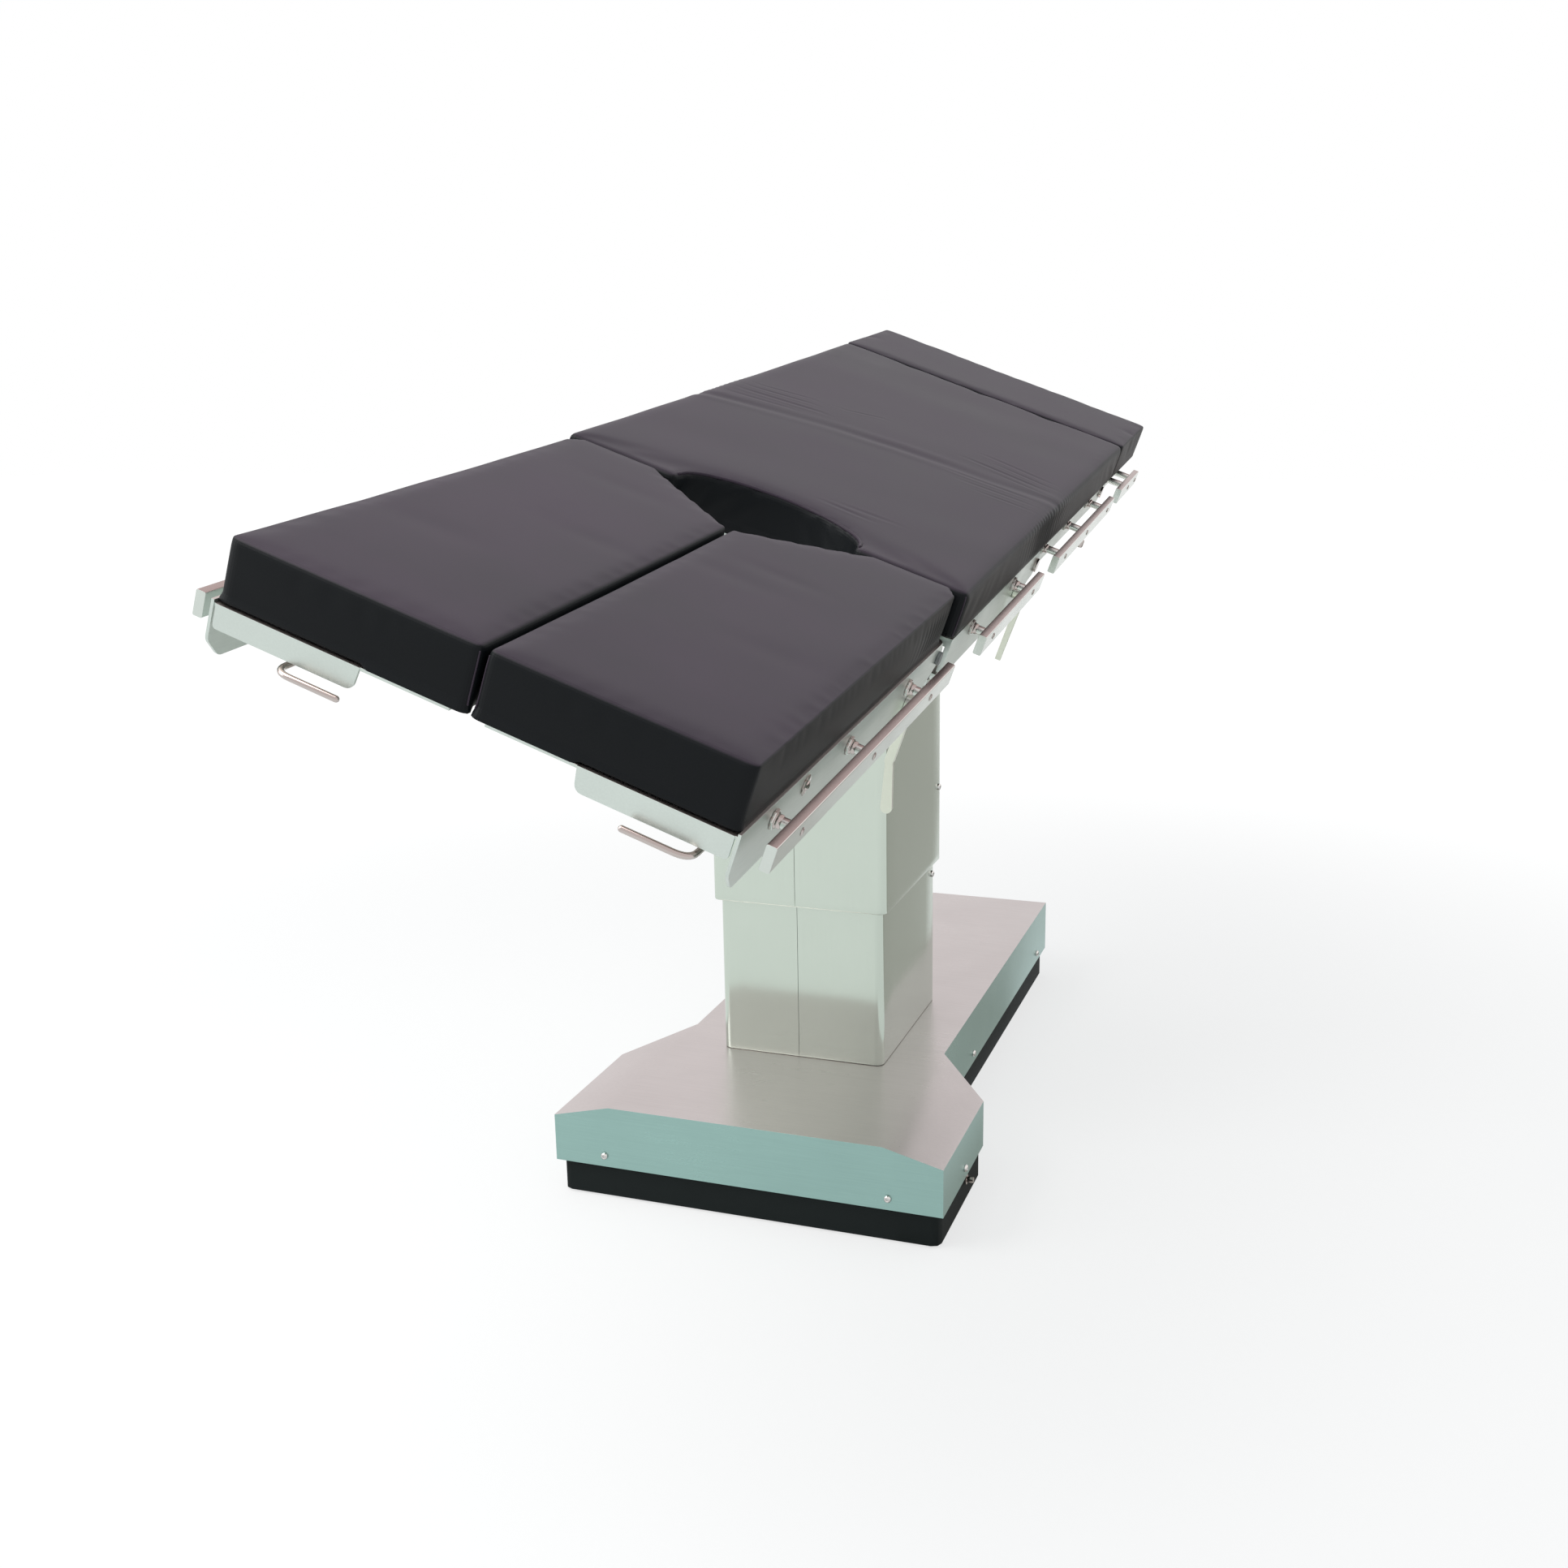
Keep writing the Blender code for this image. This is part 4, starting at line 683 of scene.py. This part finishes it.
# %% Rings round an axis, and their copies
def turned(profile, sides=24, hexagon=(), teeth=()):
    """Closed rings from (radius, height) pairs; listed rings follow a hexagon or get ten teeth."""
    angle = np.linspace(0, 2 * math.pi, sides, endpoint=False)
    profile = np.asarray(profile, float)
    radius = np.repeat(profile[:, :1], sides, axis=1)
    sixth = math.pi / 3
    corner = np.cos(np.mod(angle, sixth) - sixth / 2)
    radius[list(hexagon)] *= math.cos(sixth / 2) / corner
    radius[list(teeth)] *= 1 + 0.10 * np.cos(10 * angle)
    points = np.stack([radius * np.cos(angle), radius * np.sin(angle),
                       np.repeat(profile[:, 1:], sides, axis=1)], -1)
    return points, grid_faces(len(profile), sides, close_columns=True)


def slotted(radius, height, slot, deep):
    """A low lens on a square grid mapped to a disc, x' = x sqrt(1 - y^2 / 2), with a slot along x.

    Its faces are those of the upper sheet, and those of the lower one turned over."""
    x = np.linspace(-1, 1, 13)
    edge = slot / radius
    y = np.concatenate([np.linspace(-1, -edge * 1.15, 5), [-edge, 0, edge], np.linspace(edge * 1.15, 1, 5)])
    y, x = np.meshgrid(y, x, indexing="ij")
    across, along = x * np.sqrt(1 - y * y / 2), y * np.sqrt(1 - x * x / 2)
    lens = height * (1 - across ** 2 - along ** 2).clip(0) ** 0.5
    inside = (np.abs(y) <= edge + 1e-9) & (np.abs(x) < 0.99)
    top = np.stack([across * radius, along * radius, lens - deep * inside], -1)
    low = np.stack([across * radius, along * radius, np.where(lens > 0, -0.0006, 0)], -1)
    faces = grid_faces(*lens.shape)
    return np.vstack([top.reshape(-1, 3), low.reshape(-1, 3)]), np.vstack([faces, faces[:, ::-1] + lens.size])


def frames_of(places, direction, spin=0.0):
    """Places with a rotation whose third column is the direction, one of the axes, turned by `spin` about it."""
    z = np.asarray(direction, float)
    x = np.cross([1, 0, 0] if z[1] else [0, 1, 0], z)
    y = np.cross(z, x)
    turn = np.column_stack([x * math.cos(spin) + y * math.sin(spin), y * math.cos(spin) - x * math.sin(spin), z])
    return [(np.asarray(place, float), turn) for place in places]


def fastened(name, groups, matrix, finish, body):
    """One mesh of copies: for each (points, faces, frames) the points p' = R p + place, carried by a board."""
    all_points, all_faces, count = [], [], 0
    for points, faces, frames in groups:
        flat = points.reshape(-1, 3)
        for place, turn in frames:
            all_points.append(flat @ turn.T + place)
            all_faces.append(np.asarray(faces) + count)
            count += len(flat)
    made = tidied(mesh_object(name, carried(np.vstack(all_points), matrix), np.vstack(all_faces)))
    modified(made, "smooth_turns", "NODES", node_group=SMOOTH)
    dressed(made, finish, body)


SOCKET = turned([(0, 0.0020), (0.00165, 0.0020), (0.00175, 0.0030), (0.0026, 0.0034), (0.0038, 0.0030),
                 (0.0048, 0.0019), (0.0052, 0.0004), (0.0052, -0.0002), (0, -0.0002)], hexagon=(1, 2))
COLLAR = turned([(0, 0.0), (0.0078, 0.0), (0.0081, 0.0004), (0.0078, 0.0038), (0.0066, 0.0046), (0.0066, 0.0075),
                 (0.0060, 0.0085), (0, 0.0085)])
STAR = turned([(0, 0.0), (0.0094, 0.0), (0.0094, 0.0012), (0.0075, 0.0016), (0, 0.0016)], 40, teeth=(1, 2))
SLOTTED = slotted(0.0042, 0.0011, 0.00055, 0.0008)
print("four kinds of fastener,", [len(kind[1]) for kind in (SOCKET, COLLAR, STAR, SLOTTED)], "faces each")

# %% [markdown]
# The posts of every rail end in a slotted screw on the rail's outer face, and stand on a star washer
# and a collar on the cheek. A small knob hangs under the right rail of the back.

# %% Rail screws, star washers and collars
# Places of the posts along the rail, and how far out the rail's face and the cheek are.
RAIL_Z = 0.1285
RAIL_POSTS = {"leg": ((-1.0143, -0.7982, -0.5846), 0.2810, 0.2535), "seat": ((-0.305, -0.071), 0.2860, 0.2565),
              "back": ((0.1586, 0.3333, 0.5195), 0.2860, 0.2495), "head": ((0.735, 0.812), 0.2860, 0.2405)}
for part, (along, outer, cheek) in RAIL_POSTS.items():
    for word, side in SIDES:
        body = f"leg_{word}" if part == "leg" else part
        screws = frames_of([(side * (outer + 0.0002), y, RAIL_Z) for y in along], (side, 0, 0), 0.5)
        feet = frames_of([(side * (cheek + 0.0003), y, RAIL_Z) for y in along], (side, 0, 0))
        fastened(f"{part}_rail_fittings_{word}", [(*SLOTTED, screws), (*COLLAR, feet), (*STAR, feet)],
                 LEG if part == "leg" else TOP, rod_steel, body)
for word, side in SIDES:
    bolt = frames_of([(side * 0.2538, -0.9315, 0.1320)], (side, 0, 0), 0.3)
    fastened(f"cheek_bolt_{word}", [(*SOCKET, bolt), (*STAR, bolt)], LEG, rod_steel, f"leg_{word}")
KNOB = turned([(0, -0.0006), (0.0030, -0.0006), (0.0030, 0.0030), (0.0048, 0.0042), (0.0052, 0.0056),
               (0.0052, 0.0140), (0.0046, 0.0156), (0.0030, 0.0164), (0, 0.0164)])
fastened("back_rail_knob", [(*KNOB, frames_of([(0.281, 0.345, 0.1160)], (0, 0, -1)))], TOP, rod_steel, "back")
print("fittings on eight rails")

# %% [markdown]
# The skirt of the base and the sides of the column are held with button heads.

# %% Button heads on the base and the column
# Height of the skirt's screws; the column's covers have one on each side, at (x, y, z).
SKIRT = 0.0650
heads = frames_of([(x, -0.3895, SKIRT) for x in (-0.202, 0.202)], (0, -1, 0), 0.2)
heads += frames_of([(x, 0.6755, SKIRT) for x in (-0.140, 0.140)], (0, 1, 0), 0.4)
for word, side in SIDES:
    heads += frames_of([(side * 0.2765, -0.274, SKIRT)], (side, 0, 0), 0.1)
    heads += frames_of([(side * 0.1945, 0.110, SKIRT), (side * 0.1945, 0.594, SKIRT)], (side, 0, 0), 0.5)
fastened("skirt_button_heads", [(*SOCKET, heads)], FOOT, ground_steel, "base")
for level, body, x, y, z in (("lower", "base", 0.1222, 0.125, 0.347), ("upper", "column", 0.1302, 0.133, 0.484)):
    heads = [head for word, side in SIDES for head in frames_of([(side * x, y, z)], (side, 0, 0))]
    fastened(f"{level}_cover_screws", [(*SOCKET, heads)], FOOT, ground_steel, body)
print("button heads on the base and the column")

# %% [markdown]
# ## The pads
# A pad is a slab of foam in a coated cover that is sewn along its edges. The cover is a little small
# for the foam, so the top crowns, the edges are soft and the sides pull in. The slab is drawn from its
# outline, turned into an even skin of small squares, and blown up gently as cloth. How far a point may
# move is held back by a smooth cap, because foam swells by millimetres. The solids of the pads are
# hidden after that, but stay for contact.

# %% Outlines of the four pads
# Heights over the board, places along it, half widths, and half axes of the bay, in metres.
UNDER, THICK = 0.1443, 0.062
LEG_FOOT, LEG_HEAD, SEAT_LIP, SEAT_FOOT = -1.1005, -0.4362, -0.4320, -0.4175
BACK_HINGE, HEAD_HINGE, HEAD_END, FOLD = 0.0865, 0.6625, 0.9105, 0.070
SLIT, LEG_WIDE, SEAT_WIDE, HEAD_WIDE, HEAD_GAP = 0.0025, 0.2485, 0.260, 0.2585, 0.002
ARC_HALF, ARC_DEEP = 0.115, 0.063


def rounded_corners(outline, radius, rounds=6):
    """Replaces each corner by points of the curve c + a (1 - t)^2 + b t^2, with a and b along its edges."""
    outline = np.asarray(outline, float)
    before, after = np.roll(outline, 1, axis=0), np.roll(outline, -1, axis=0)
    a, b = before - outline, after - outline
    long_a, long_b = np.linalg.norm(a, axis=1), np.linalg.norm(b, axis=1)
    size = np.minimum(radius, np.minimum(long_a, long_b) * 0.45)[:, None]
    a, b = a / long_a[:, None] * size, b / long_b[:, None] * size
    t = np.linspace(0, 1, rounds)[None, :, None]
    corners = outline[:, None] + a[:, None] * (1 - t) ** 2 + b[:, None] * t ** 2
    return corners.reshape(-1, 2)


def leg_outline(side):
    """The leg pad: a rectangle whose inner corner at the seat is cut away slantwise, and the outer one a little."""
    points = np.array([(SLIT, LEG_FOOT), (LEG_WIDE, LEG_FOOT), (LEG_WIDE, LEG_HEAD - 0.0225), (0.2365, LEG_HEAD),
                       (0.142, LEG_HEAD), (0.0120, LEG_HEAD - 0.1053), (SLIT, LEG_HEAD - 0.1085)])
    return points if side > 0 else (points * (-1, 1))[::-1]


def trunk_outline():
    """Seat and back in one: the foot edge has the bay (x / ARC_HALF)^2 + (y / ARC_DEEP)^2 = 1 in it.

    The cover reaches a little beyond its foam, so that it all but touches the leg pads."""
    t = np.linspace(math.pi, 0, 41)
    bay = np.column_stack([ARC_HALF * np.cos(t), SEAT_FOOT + ARC_DEEP * np.sin(t)])
    mouth, head = ARC_HALF + 0.0015, HEAD_HINGE - HEAD_GAP
    return np.vstack([(-SEAT_WIDE, SEAT_LIP), (-mouth, SEAT_LIP), bay, (mouth, SEAT_LIP), (SEAT_WIDE, SEAT_LIP),
                      (SEAT_WIDE, head), (-SEAT_WIDE, head)])


def head_outline():
    """The head pad: a plain rectangle."""
    foot = HEAD_HINGE + HEAD_GAP
    return [(-HEAD_WIDE, foot), (HEAD_WIDE, foot), (HEAD_WIDE, HEAD_END), (-HEAD_WIDE, HEAD_END)]


FULLER = 0.0010
LOW, HIGH = UNDER + 0.0003, UNDER + THICK - 0.0006


def slab(name, outline, radius):
    """A prism from LOW to HIGH whose rounded outline is pushed out by FULLER along its corner normals."""
    outline = rounded_corners(outline, radius)
    edges = np.roll(outline, -1, axis=0) - outline
    normals = unit(np.column_stack([edges[:, 1], -edges[:, 0]]))
    corner = normals + np.roll(normals, 1, axis=0)
    corner /= (1 + np.sum(normals * np.roll(normals, 1, axis=0), axis=1))[:, None]
    outline = outline + corner * FULLER
    n = len(outline)
    points = np.vstack([np.column_stack([outline, np.full(n, z)]) for z in (LOW, HIGH)])
    i = np.arange(n)
    sides = np.column_stack([i, (i + 1) % n, (i + 1) % n + n, i + n]).tolist()
    return mesh_object(name, points, [*sides, list(range(n))[::-1], list(range(n, 2 * n))])


# %% [markdown]
# All four slabs are blown up in the same twenty frames. The underside is held, as it lies on the deck.


# %% Blow up the slabs as cloth
def baked(made):
    """Replaces a mesh by itself with its modifiers applied."""
    mesh = bpy.data.meshes.new_from_object(made.evaluated_get(bpy.context.evaluated_depsgraph_get()))
    made.modifiers.clear()
    made.data = mesh


def read(made, what):
    """An (n, 3) array of the "co" or the "normal" of a mesh's points."""
    flat = np.empty(len(made.data.vertices) * 3, np.float32)
    made.data.vertices.foreach_get(what, flat)
    return flat.reshape(-1, 3).astype(float)


def write_corners(made, points):
    """Puts an (n, 3) array into a mesh."""
    made.data.vertices.foreach_set("co", points.astype(np.float32).ravel())
    made.data.update()


FRAMES = 20
# Stiff across the weave: a slack cover would bulge like a balloon and draw the corners in.
WEAVE = {"quality": 4, "mass": 0.25, "tension_stiffness": 200, "compression_stiffness": 200, "shear_stiffness": 65,
         "bending_stiffness": 20, "use_pressure": True, "uniform_pressure_force": 2.0,
         "vertex_group_mass": "underside"}


def inflated(pads, cap):
    """Swells pads: a point goes d cap tanh(|d| / cap) / |d| for a cloth displacement d."""
    start = {made: read(made, "co") for made in pads}
    for made in pads:
        held = made.vertex_groups.new(name="underside")
        held.add(np.flatnonzero(start[made][:, 2] < UNDER + 0.004).tolist(), 1.0, "REPLACE")
        cloth = modified(made, "cloth", "CLOTH")
        for label, value in WEAVE.items():
            setattr(cloth.settings, label, value)
        cloth.settings.effector_weights.gravity = 0
        cloth.point_cache.frame_start, cloth.point_cache.frame_end = 1, FRAMES
    for number in range(1, FRAMES + 1):
        scene.frame_set(number)
    for made in pads:
        baked(made)
        shift = read(made, "co") - start[made]
        size = np.linalg.norm(shift, axis=1)[:, None]
        write_corners(made, start[made] + shift * cap * np.tanh(size / cap) / np.maximum(size, 1e-9))
        print(made.name, "swelled by up to", round(float(size.max() * 1000), 1), "mm before the cap")
    scene.frame_set(1)


SWELL = 0.0024
trunk = slab("trunk_pad", trunk_outline(), 0.004)
head_pad = slab("head_cushion", head_outline(), 0.008)
leg_pads = {word: slab(f"leg_cushion_{word}", leg_outline(side), 0.004) for word, side in SIDES}
VOXELS = {trunk: 0.0075, head_pad: 0.006, leg_pads["left"]: 0.0054, leg_pads["right"]: 0.0054}
pads = list(VOXELS)
for made, size in VOXELS.items():
    modified(made, "skin", "REMESH", mode="VOXEL", voxel_size=size)
    baked(made)
inflated(pads, SWELL)
for made in pads:
    modified(made, "finer", "SUBSURF", levels=1, render_levels=1)
    baked(made)
    print(made.name, len(made.data.polygons), "faces")

# %% [markdown]
# The seat and back share one cover, so it creases where the back folds. A crease is a dip with a low
# ridge on each side, drawn along a line and fading towards its ends. The deep one crosses the whole pad
# over the hinge, and finer ones fan out to both edges. Upright puckers do the same on the side walls.
# At the bottom the cover is drawn over the edge of the deck, so the walls get a small hem there.


# %% Creases, puckers and a slow unevenness
def step(value, low, high):
    """Smoothstep: 3 t^2 - 2 t^3 with t = (value - low) / (high - low), held between 0 and 1."""
    t = np.clip((value - low) / (high - low), 0, 1)
    return t * t * (3 - 2 * t)


def crease(points, line, depth, width, fade):
    """Height change -depth (exp(-u^2) - 0.45 exp(-(|u| - 2)^2)), u = (y - line(x)) / width."""
    line = np.asarray(line, float)
    x, y = points[:, 0], points[:, 1]
    u = (y - np.interp(x, line[:, 0], line[:, 1])) / width
    along = step(x, line[0, 0] - fade, line[0, 0] + fade) * (1 - step(x, line[-1, 0] - fade, line[-1, 0] + fade))
    return -depth * along * (np.exp(-u * u) - 0.45 * np.exp(-(np.abs(u) - 2) ** 2))


def slow_waves(points, size, seed):
    """Sum of eight sine waves of about `size` metres with fixed random directions and phases."""
    pick = np.random.default_rng(seed)
    angle, phase = pick.uniform(0, 2 * math.pi, (2, 8))
    pitch = size * pick.uniform(0.6, 1.6, 8)
    reach = points[:, :1] * np.cos(angle) + points[:, 1:2] * np.sin(angle)
    return np.sin(2 * math.pi * reach / pitch + phase).mean(axis=1)


# The crease over the hinge as points (x, y); fine ones as x, y, x, y, depth and width; dents on the leg pads as
# x, y and their reach along both.
MAIN = [(-0.30, -0.058), (-0.244, -0.030), (-0.181, 0.002), (-0.126, 0.026), (-0.071, 0.050), (0.016, 0.074),
        (0.094, 0.087), (0.155, 0.090), (0.226, 0.105), (0.30, 0.118)]
FAN = [(0.120, 0.220, 0.215, 0.208, 0.00040, 0.0045), (0.150, 0.190, 0.225, 0.181, 0.00040, 0.0040),
       (0.105, 0.164, 0.220, 0.154, 0.00048, 0.0045), (0.160, 0.138, 0.228, 0.131, 0.00032, 0.0035),
       (0.100, 0.062, 0.215, 0.069, 0.00040, 0.0045), (0.130, 0.033, 0.220, 0.041, 0.00032, 0.0040),
       (0.165, 0.007, 0.225, 0.012, 0.00032, 0.0035), (-0.225, 0.066, -0.115, 0.101, 0.00048, 0.0050),
       (-0.225, 0.096, -0.140, 0.129, 0.00040, 0.0045), (-0.220, 0.124, -0.150, 0.156, 0.00032, 0.0040),
       (-0.228, 0.027, -0.150, 0.057, 0.00032, 0.0045), (-0.098, 0.169, -0.050, 0.206, 0.00032, 0.0040),
       (0.042, -0.312, 0.090, -0.315, 0.00048, 0.0040), (0.060, -0.295, 0.120, -0.290, 0.00032, 0.0045)]
DENTS = [(0.098, -0.640, 0.045, 0.016), (0.060, -0.700, 0.060, 0.020), (0.170, -0.860, 0.050, 0.024),
         (-0.120, -0.560, 0.055, 0.022), (-0.060, -0.760, 0.050, 0.020), (-0.180, -0.900, 0.060, 0.024)]
# Where two pads press on each other, each stays this far from the plane between them.
CLEAR = 0.0004


def raised(points, rise, pull):
    """Points lifted by `rise` where they are on the top, and moved away from the middle by `pull` on the walls."""
    x, y, z = points.T
    walls = step(z, UNDER + 0.004, UNDER + 0.02)
    return np.column_stack([x + np.sign(x) * pull * walls, y, z + rise * step(z, UNDER + 0.030, UNDER + 0.058)])


def puckers(y, pitch, drift):
    """Waves of about one pitch whose pace drifts: sin(2 pi y / pitch + 2 sin(drift y))."""
    return np.sin(y * 2 * math.pi / pitch + 2 * np.sin(y * drift))


def hemmed(made, points, where, out, down=0.0):
    """Pulls the lowest 10 mm of the walls out and down: p' = p + w (out n, -down), n level, w fading upwards."""
    level = read(made, "normal")[:, :2]
    long = np.linalg.norm(level, axis=1)
    share = where * step(long, 0.2, 0.8) * (1 - step(points[:, 2], UNDER + 0.001, UNDER + 0.010))
    return points + np.column_stack([(out * share / np.maximum(long, 0.01))[:, None] * level, -down * share])


points = read(trunk, "co")
x, y, z = points.T
rise = crease(points, MAIN, 0.0012, 0.0130, 0.05) * (0.75 + 0.25 * np.sin(x * 23 + 1))
for x_start, y_start, x_end, y_end, depth, width in FAN:
    rise += crease(points, [(x_start, y_start), (x_end, y_end)], depth, width, 0.03)
rise += 0.0007 * slow_waves(points, 0.22, 5)
side_wall = step(np.abs(x), 0.250, 0.258) * np.exp(-((y - 0.06) / 0.11) ** 2)
points = raised(points, rise, 0.0009 * puckers(y, 0.017, 31) * side_wall)
x, y, z = points.T
bay = (np.abs(x) < 0.114) & (y < -0.340)
points = hemmed(trunk, points, np.abs(x) > 0.250, 0.0014)
points = hemmed(trunk, points, bay, 0.0020, 0.0125)
points[:, 1] = np.minimum(points[:, 1], HEAD_HINGE - CLEAR)
write_corners(trunk, points)

points = hemmed(head_pad, read(head_pad, "co"), 1.0, 0.0014)
points[:, 1] = np.maximum(points[:, 1], HEAD_HINGE + CLEAR)
write_corners(head_pad, raised(points, 0.0006 * slow_waves(points, 0.2, 11), 0))

for (word, side), seed in zip(SIDES, (12, 13)):
    made = leg_pads[word]
    points = read(made, "co")
    x, y, z = points.T
    rise = 0.0006 * slow_waves(points, 0.2, seed)
    for at_x, at_y, long, wide in DENTS:
        rise -= 0.0006 * np.exp(-((x - at_x) / long) ** 2 - ((y - at_y) / wide) ** 2)
    # The foot wall hangs over the tray's edge up to the lip; near the seat and at the slit there is no hem.
    foot = step(-y, 1.090, 1.098)
    front = foot * (1 - step(np.abs(x), 0.098, 0.106))
    free = (np.abs(x) > 0.02) & (y < LEG_HEAD - 0.012)
    points = hemmed(made, points, (1 - front) * free, 0.0014 + 0.0016 * foot)
    points = hemmed(made, points, front, 0.0045, 0.0035)
    x, y, z = points.T
    near = step(y, -0.640, -0.520) * step(np.abs(x), 0.240, 0.247) * (1 - step(z, UNDER + 0.040, UNDER + 0.056))
    points = raised(points, rise, 0.0005 * puckers(y, 0.015, 37) * near)
    points[:, 0] = side * np.maximum(side * points[:, 0], CLEAR)
    write_corners(made, points)
print("creases and hems on four pads")

# %% [markdown]
# The cover is sewn from panels. A welt of piping runs round the bay of the seat, and finer ones go down
# the upright corners at the slit between the legs and at the seat's foot end. A welt has to lie on the
# swollen skin, so rays are shot at the skin from outside and a thin wire is laid where they land.


# %% Piping on the skins
def landed(skin, starts, way):
    """Where rays from `starts` along `way` (one or one each) meet a skin; rows smoothed by (a + 2 b + c) / 4."""
    mesh = skin.data
    tree = BVHTree.FromPolygons([v.co for v in mesh.vertices], [p.vertices for p in mesh.polygons])
    ways = np.broadcast_to(way, np.shape(starts))
    hits = [tree.ray_cast(Vector(start), Vector(aim))[0] for start, aim in zip(starts, ways)]
    line = np.array([hit for hit in hits if hit is not None])
    for _ in range(3):
        line[1:-1] = (line[:-2] + 2 * line[1:-1] + line[2:]) / 4
    return line


def upright_welt(skin, x, y, towards):
    """A fine wire down the corner (x, y) of a pad's foot end that points towards (+-1, -1)."""
    heights = np.linspace(UNDER + 0.006, UNDER + THICK - 0.006, 12)
    out = np.array([towards, -1, 0.0]) / math.sqrt(2)
    starts = np.column_stack([np.full(12, x), np.full(12, y), heights]) + 0.03 * out
    return wire(landed(skin, starts, -out), 0.0009, 10, beside=out)


t = np.linspace(math.pi, 0, 61)
rim = np.column_stack([ARC_HALF * np.cos(t), SEAT_FOOT + ARC_DEEP * np.sin(t), np.full(61, UNDER + THICK)])
out = unit(np.column_stack([-np.cos(t) / ARC_HALF, -np.sin(t) / ARC_DEEP, 0 * t]))
out = (out + RISE) / math.sqrt(2)
welts = [wire(landed(trunk, rim + 0.02 * out, -out) + 0.0006 * RISE, 0.0019, 12),
         *(upright_welt(trunk, side * SEAT_WIDE, SEAT_LIP, side) for word, side in SIDES)]
piping = {"seat": tube("seat_piping", [carried(welt, TOP) for welt in welts])}
for word, side in SIDES:
    welt = upright_welt(leg_pads[word], side * SLIT, LEG_FOOT, -side)
    piping[f"leg_{word}"] = tube(f"leg_piping_{word}", [carried(welt, LEG)])
print("piping on three pads")

# %% [markdown]
# The cover is a dark coated cloth with a fine calf-like grain that only shows close by. Its top is
# painted lighter and slightly purple, as painted light, in worn patches at random, and its walls are painted near
# black, as painted shade.
# Which part is top and which is wall is known best on the drawing board, so it is stored there as an
# attribute of the points, and the material mixes the two colours by it.


# %% Cover material
def mark_shaded_walls(made):
    """Stores 1 - step(normal z) on the points, which is 0 on top and 1 on the walls, where the material paints shade.
    """
    share = 1 - step(read(made, "normal")[:, 2], 0.62, 0.95)
    made.data.attributes.new("wall", "FLOAT", "POINT").data.foreach_set("value", share.astype(np.float32))


cover_cloth, tree = bare_material("cover_cloth")
place = add(tree, "TexCoord").outputs["Object"]
wall = add(tree, "Attribute", attribute_name="wall").outputs["Fac"]
worn = noise(tree, place, 4.2, 5.0, 0.6)
wear = held_sum(tree, spread(tree, worn, 2.8), 0.5)
lit_top_colour = blended(tree, wear, from_screen(43, 35, 46), from_screen(59, 49, 61))
cells = add(tree, "TexVoronoi", {"Vector": place, "Scale": 1100.0}, feature="SMOOTH_F1").outputs["Distance"]
surfaced(tree, add(tree, "BsdfPrincipled", {
    # Painted light and shade: the lit top colour on top, near black on the walls.
    "Base Color": blended(tree, wall, lit_top_colour, from_screen(10, 14, 17)),
    "Roughness": maths(tree, "ADD", maths(tree, "MULTIPLY", worn, 0.16), 0.40),
    "Specular IOR Level": maths(tree, "SUBTRACT", 0.22, maths(tree, "MULTIPLY", wall, 0.07)),
    "Normal": bumped(tree, 0.22, 0.0002, cells)}))

# %% [markdown]
# Each pad now leaves the drawing board for the room, and the solids it replaces are hidden.
# The leg pads all but touch the seat pad.

# %% Pads in place
for made in pads:
    mark_shaded_walls(made)
    placed(made, LEG if made in leg_pads.values() else TOP)
    made.data.materials.append(cover_cloth)
for body, made in piping.items():
    dressed(made, cover_cloth, body)


BLEND_Z, LEG_MIDDLE, KNEE = 0.17, 0.125, 0.018


def bent(made, first, second, x, start, end, matrix, *nodes):
    """Bakes a pad's placement into its points and hides the solids it replaces; the bodies, x, start, end and matrix
    are not used.
    """
    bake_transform(made)
    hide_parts(*nodes)


for word, side in SIDES:
    bent(leg_pads[word], f"swivel_{word}", f"leg_{word}", side * LEG_MIDDLE, LEG_HINGE[0] + KNEE, LEG_HINGE[0] - KNEE,
         LEG, f"leg_pad_{word}")
bent(trunk, "seat", "back", 0, BACK_HINGE - FOLD, BACK_HINGE + FOLD, TOP, "seat_pad", "seat_back_fold", "back_pad")
bent(head_pad, "back", "head", 0, HEAD_HINGE + 0.003, HEAD_HINGE + 0.060, TOP, "head_pad", "head_pad_fold")
print("four pads")
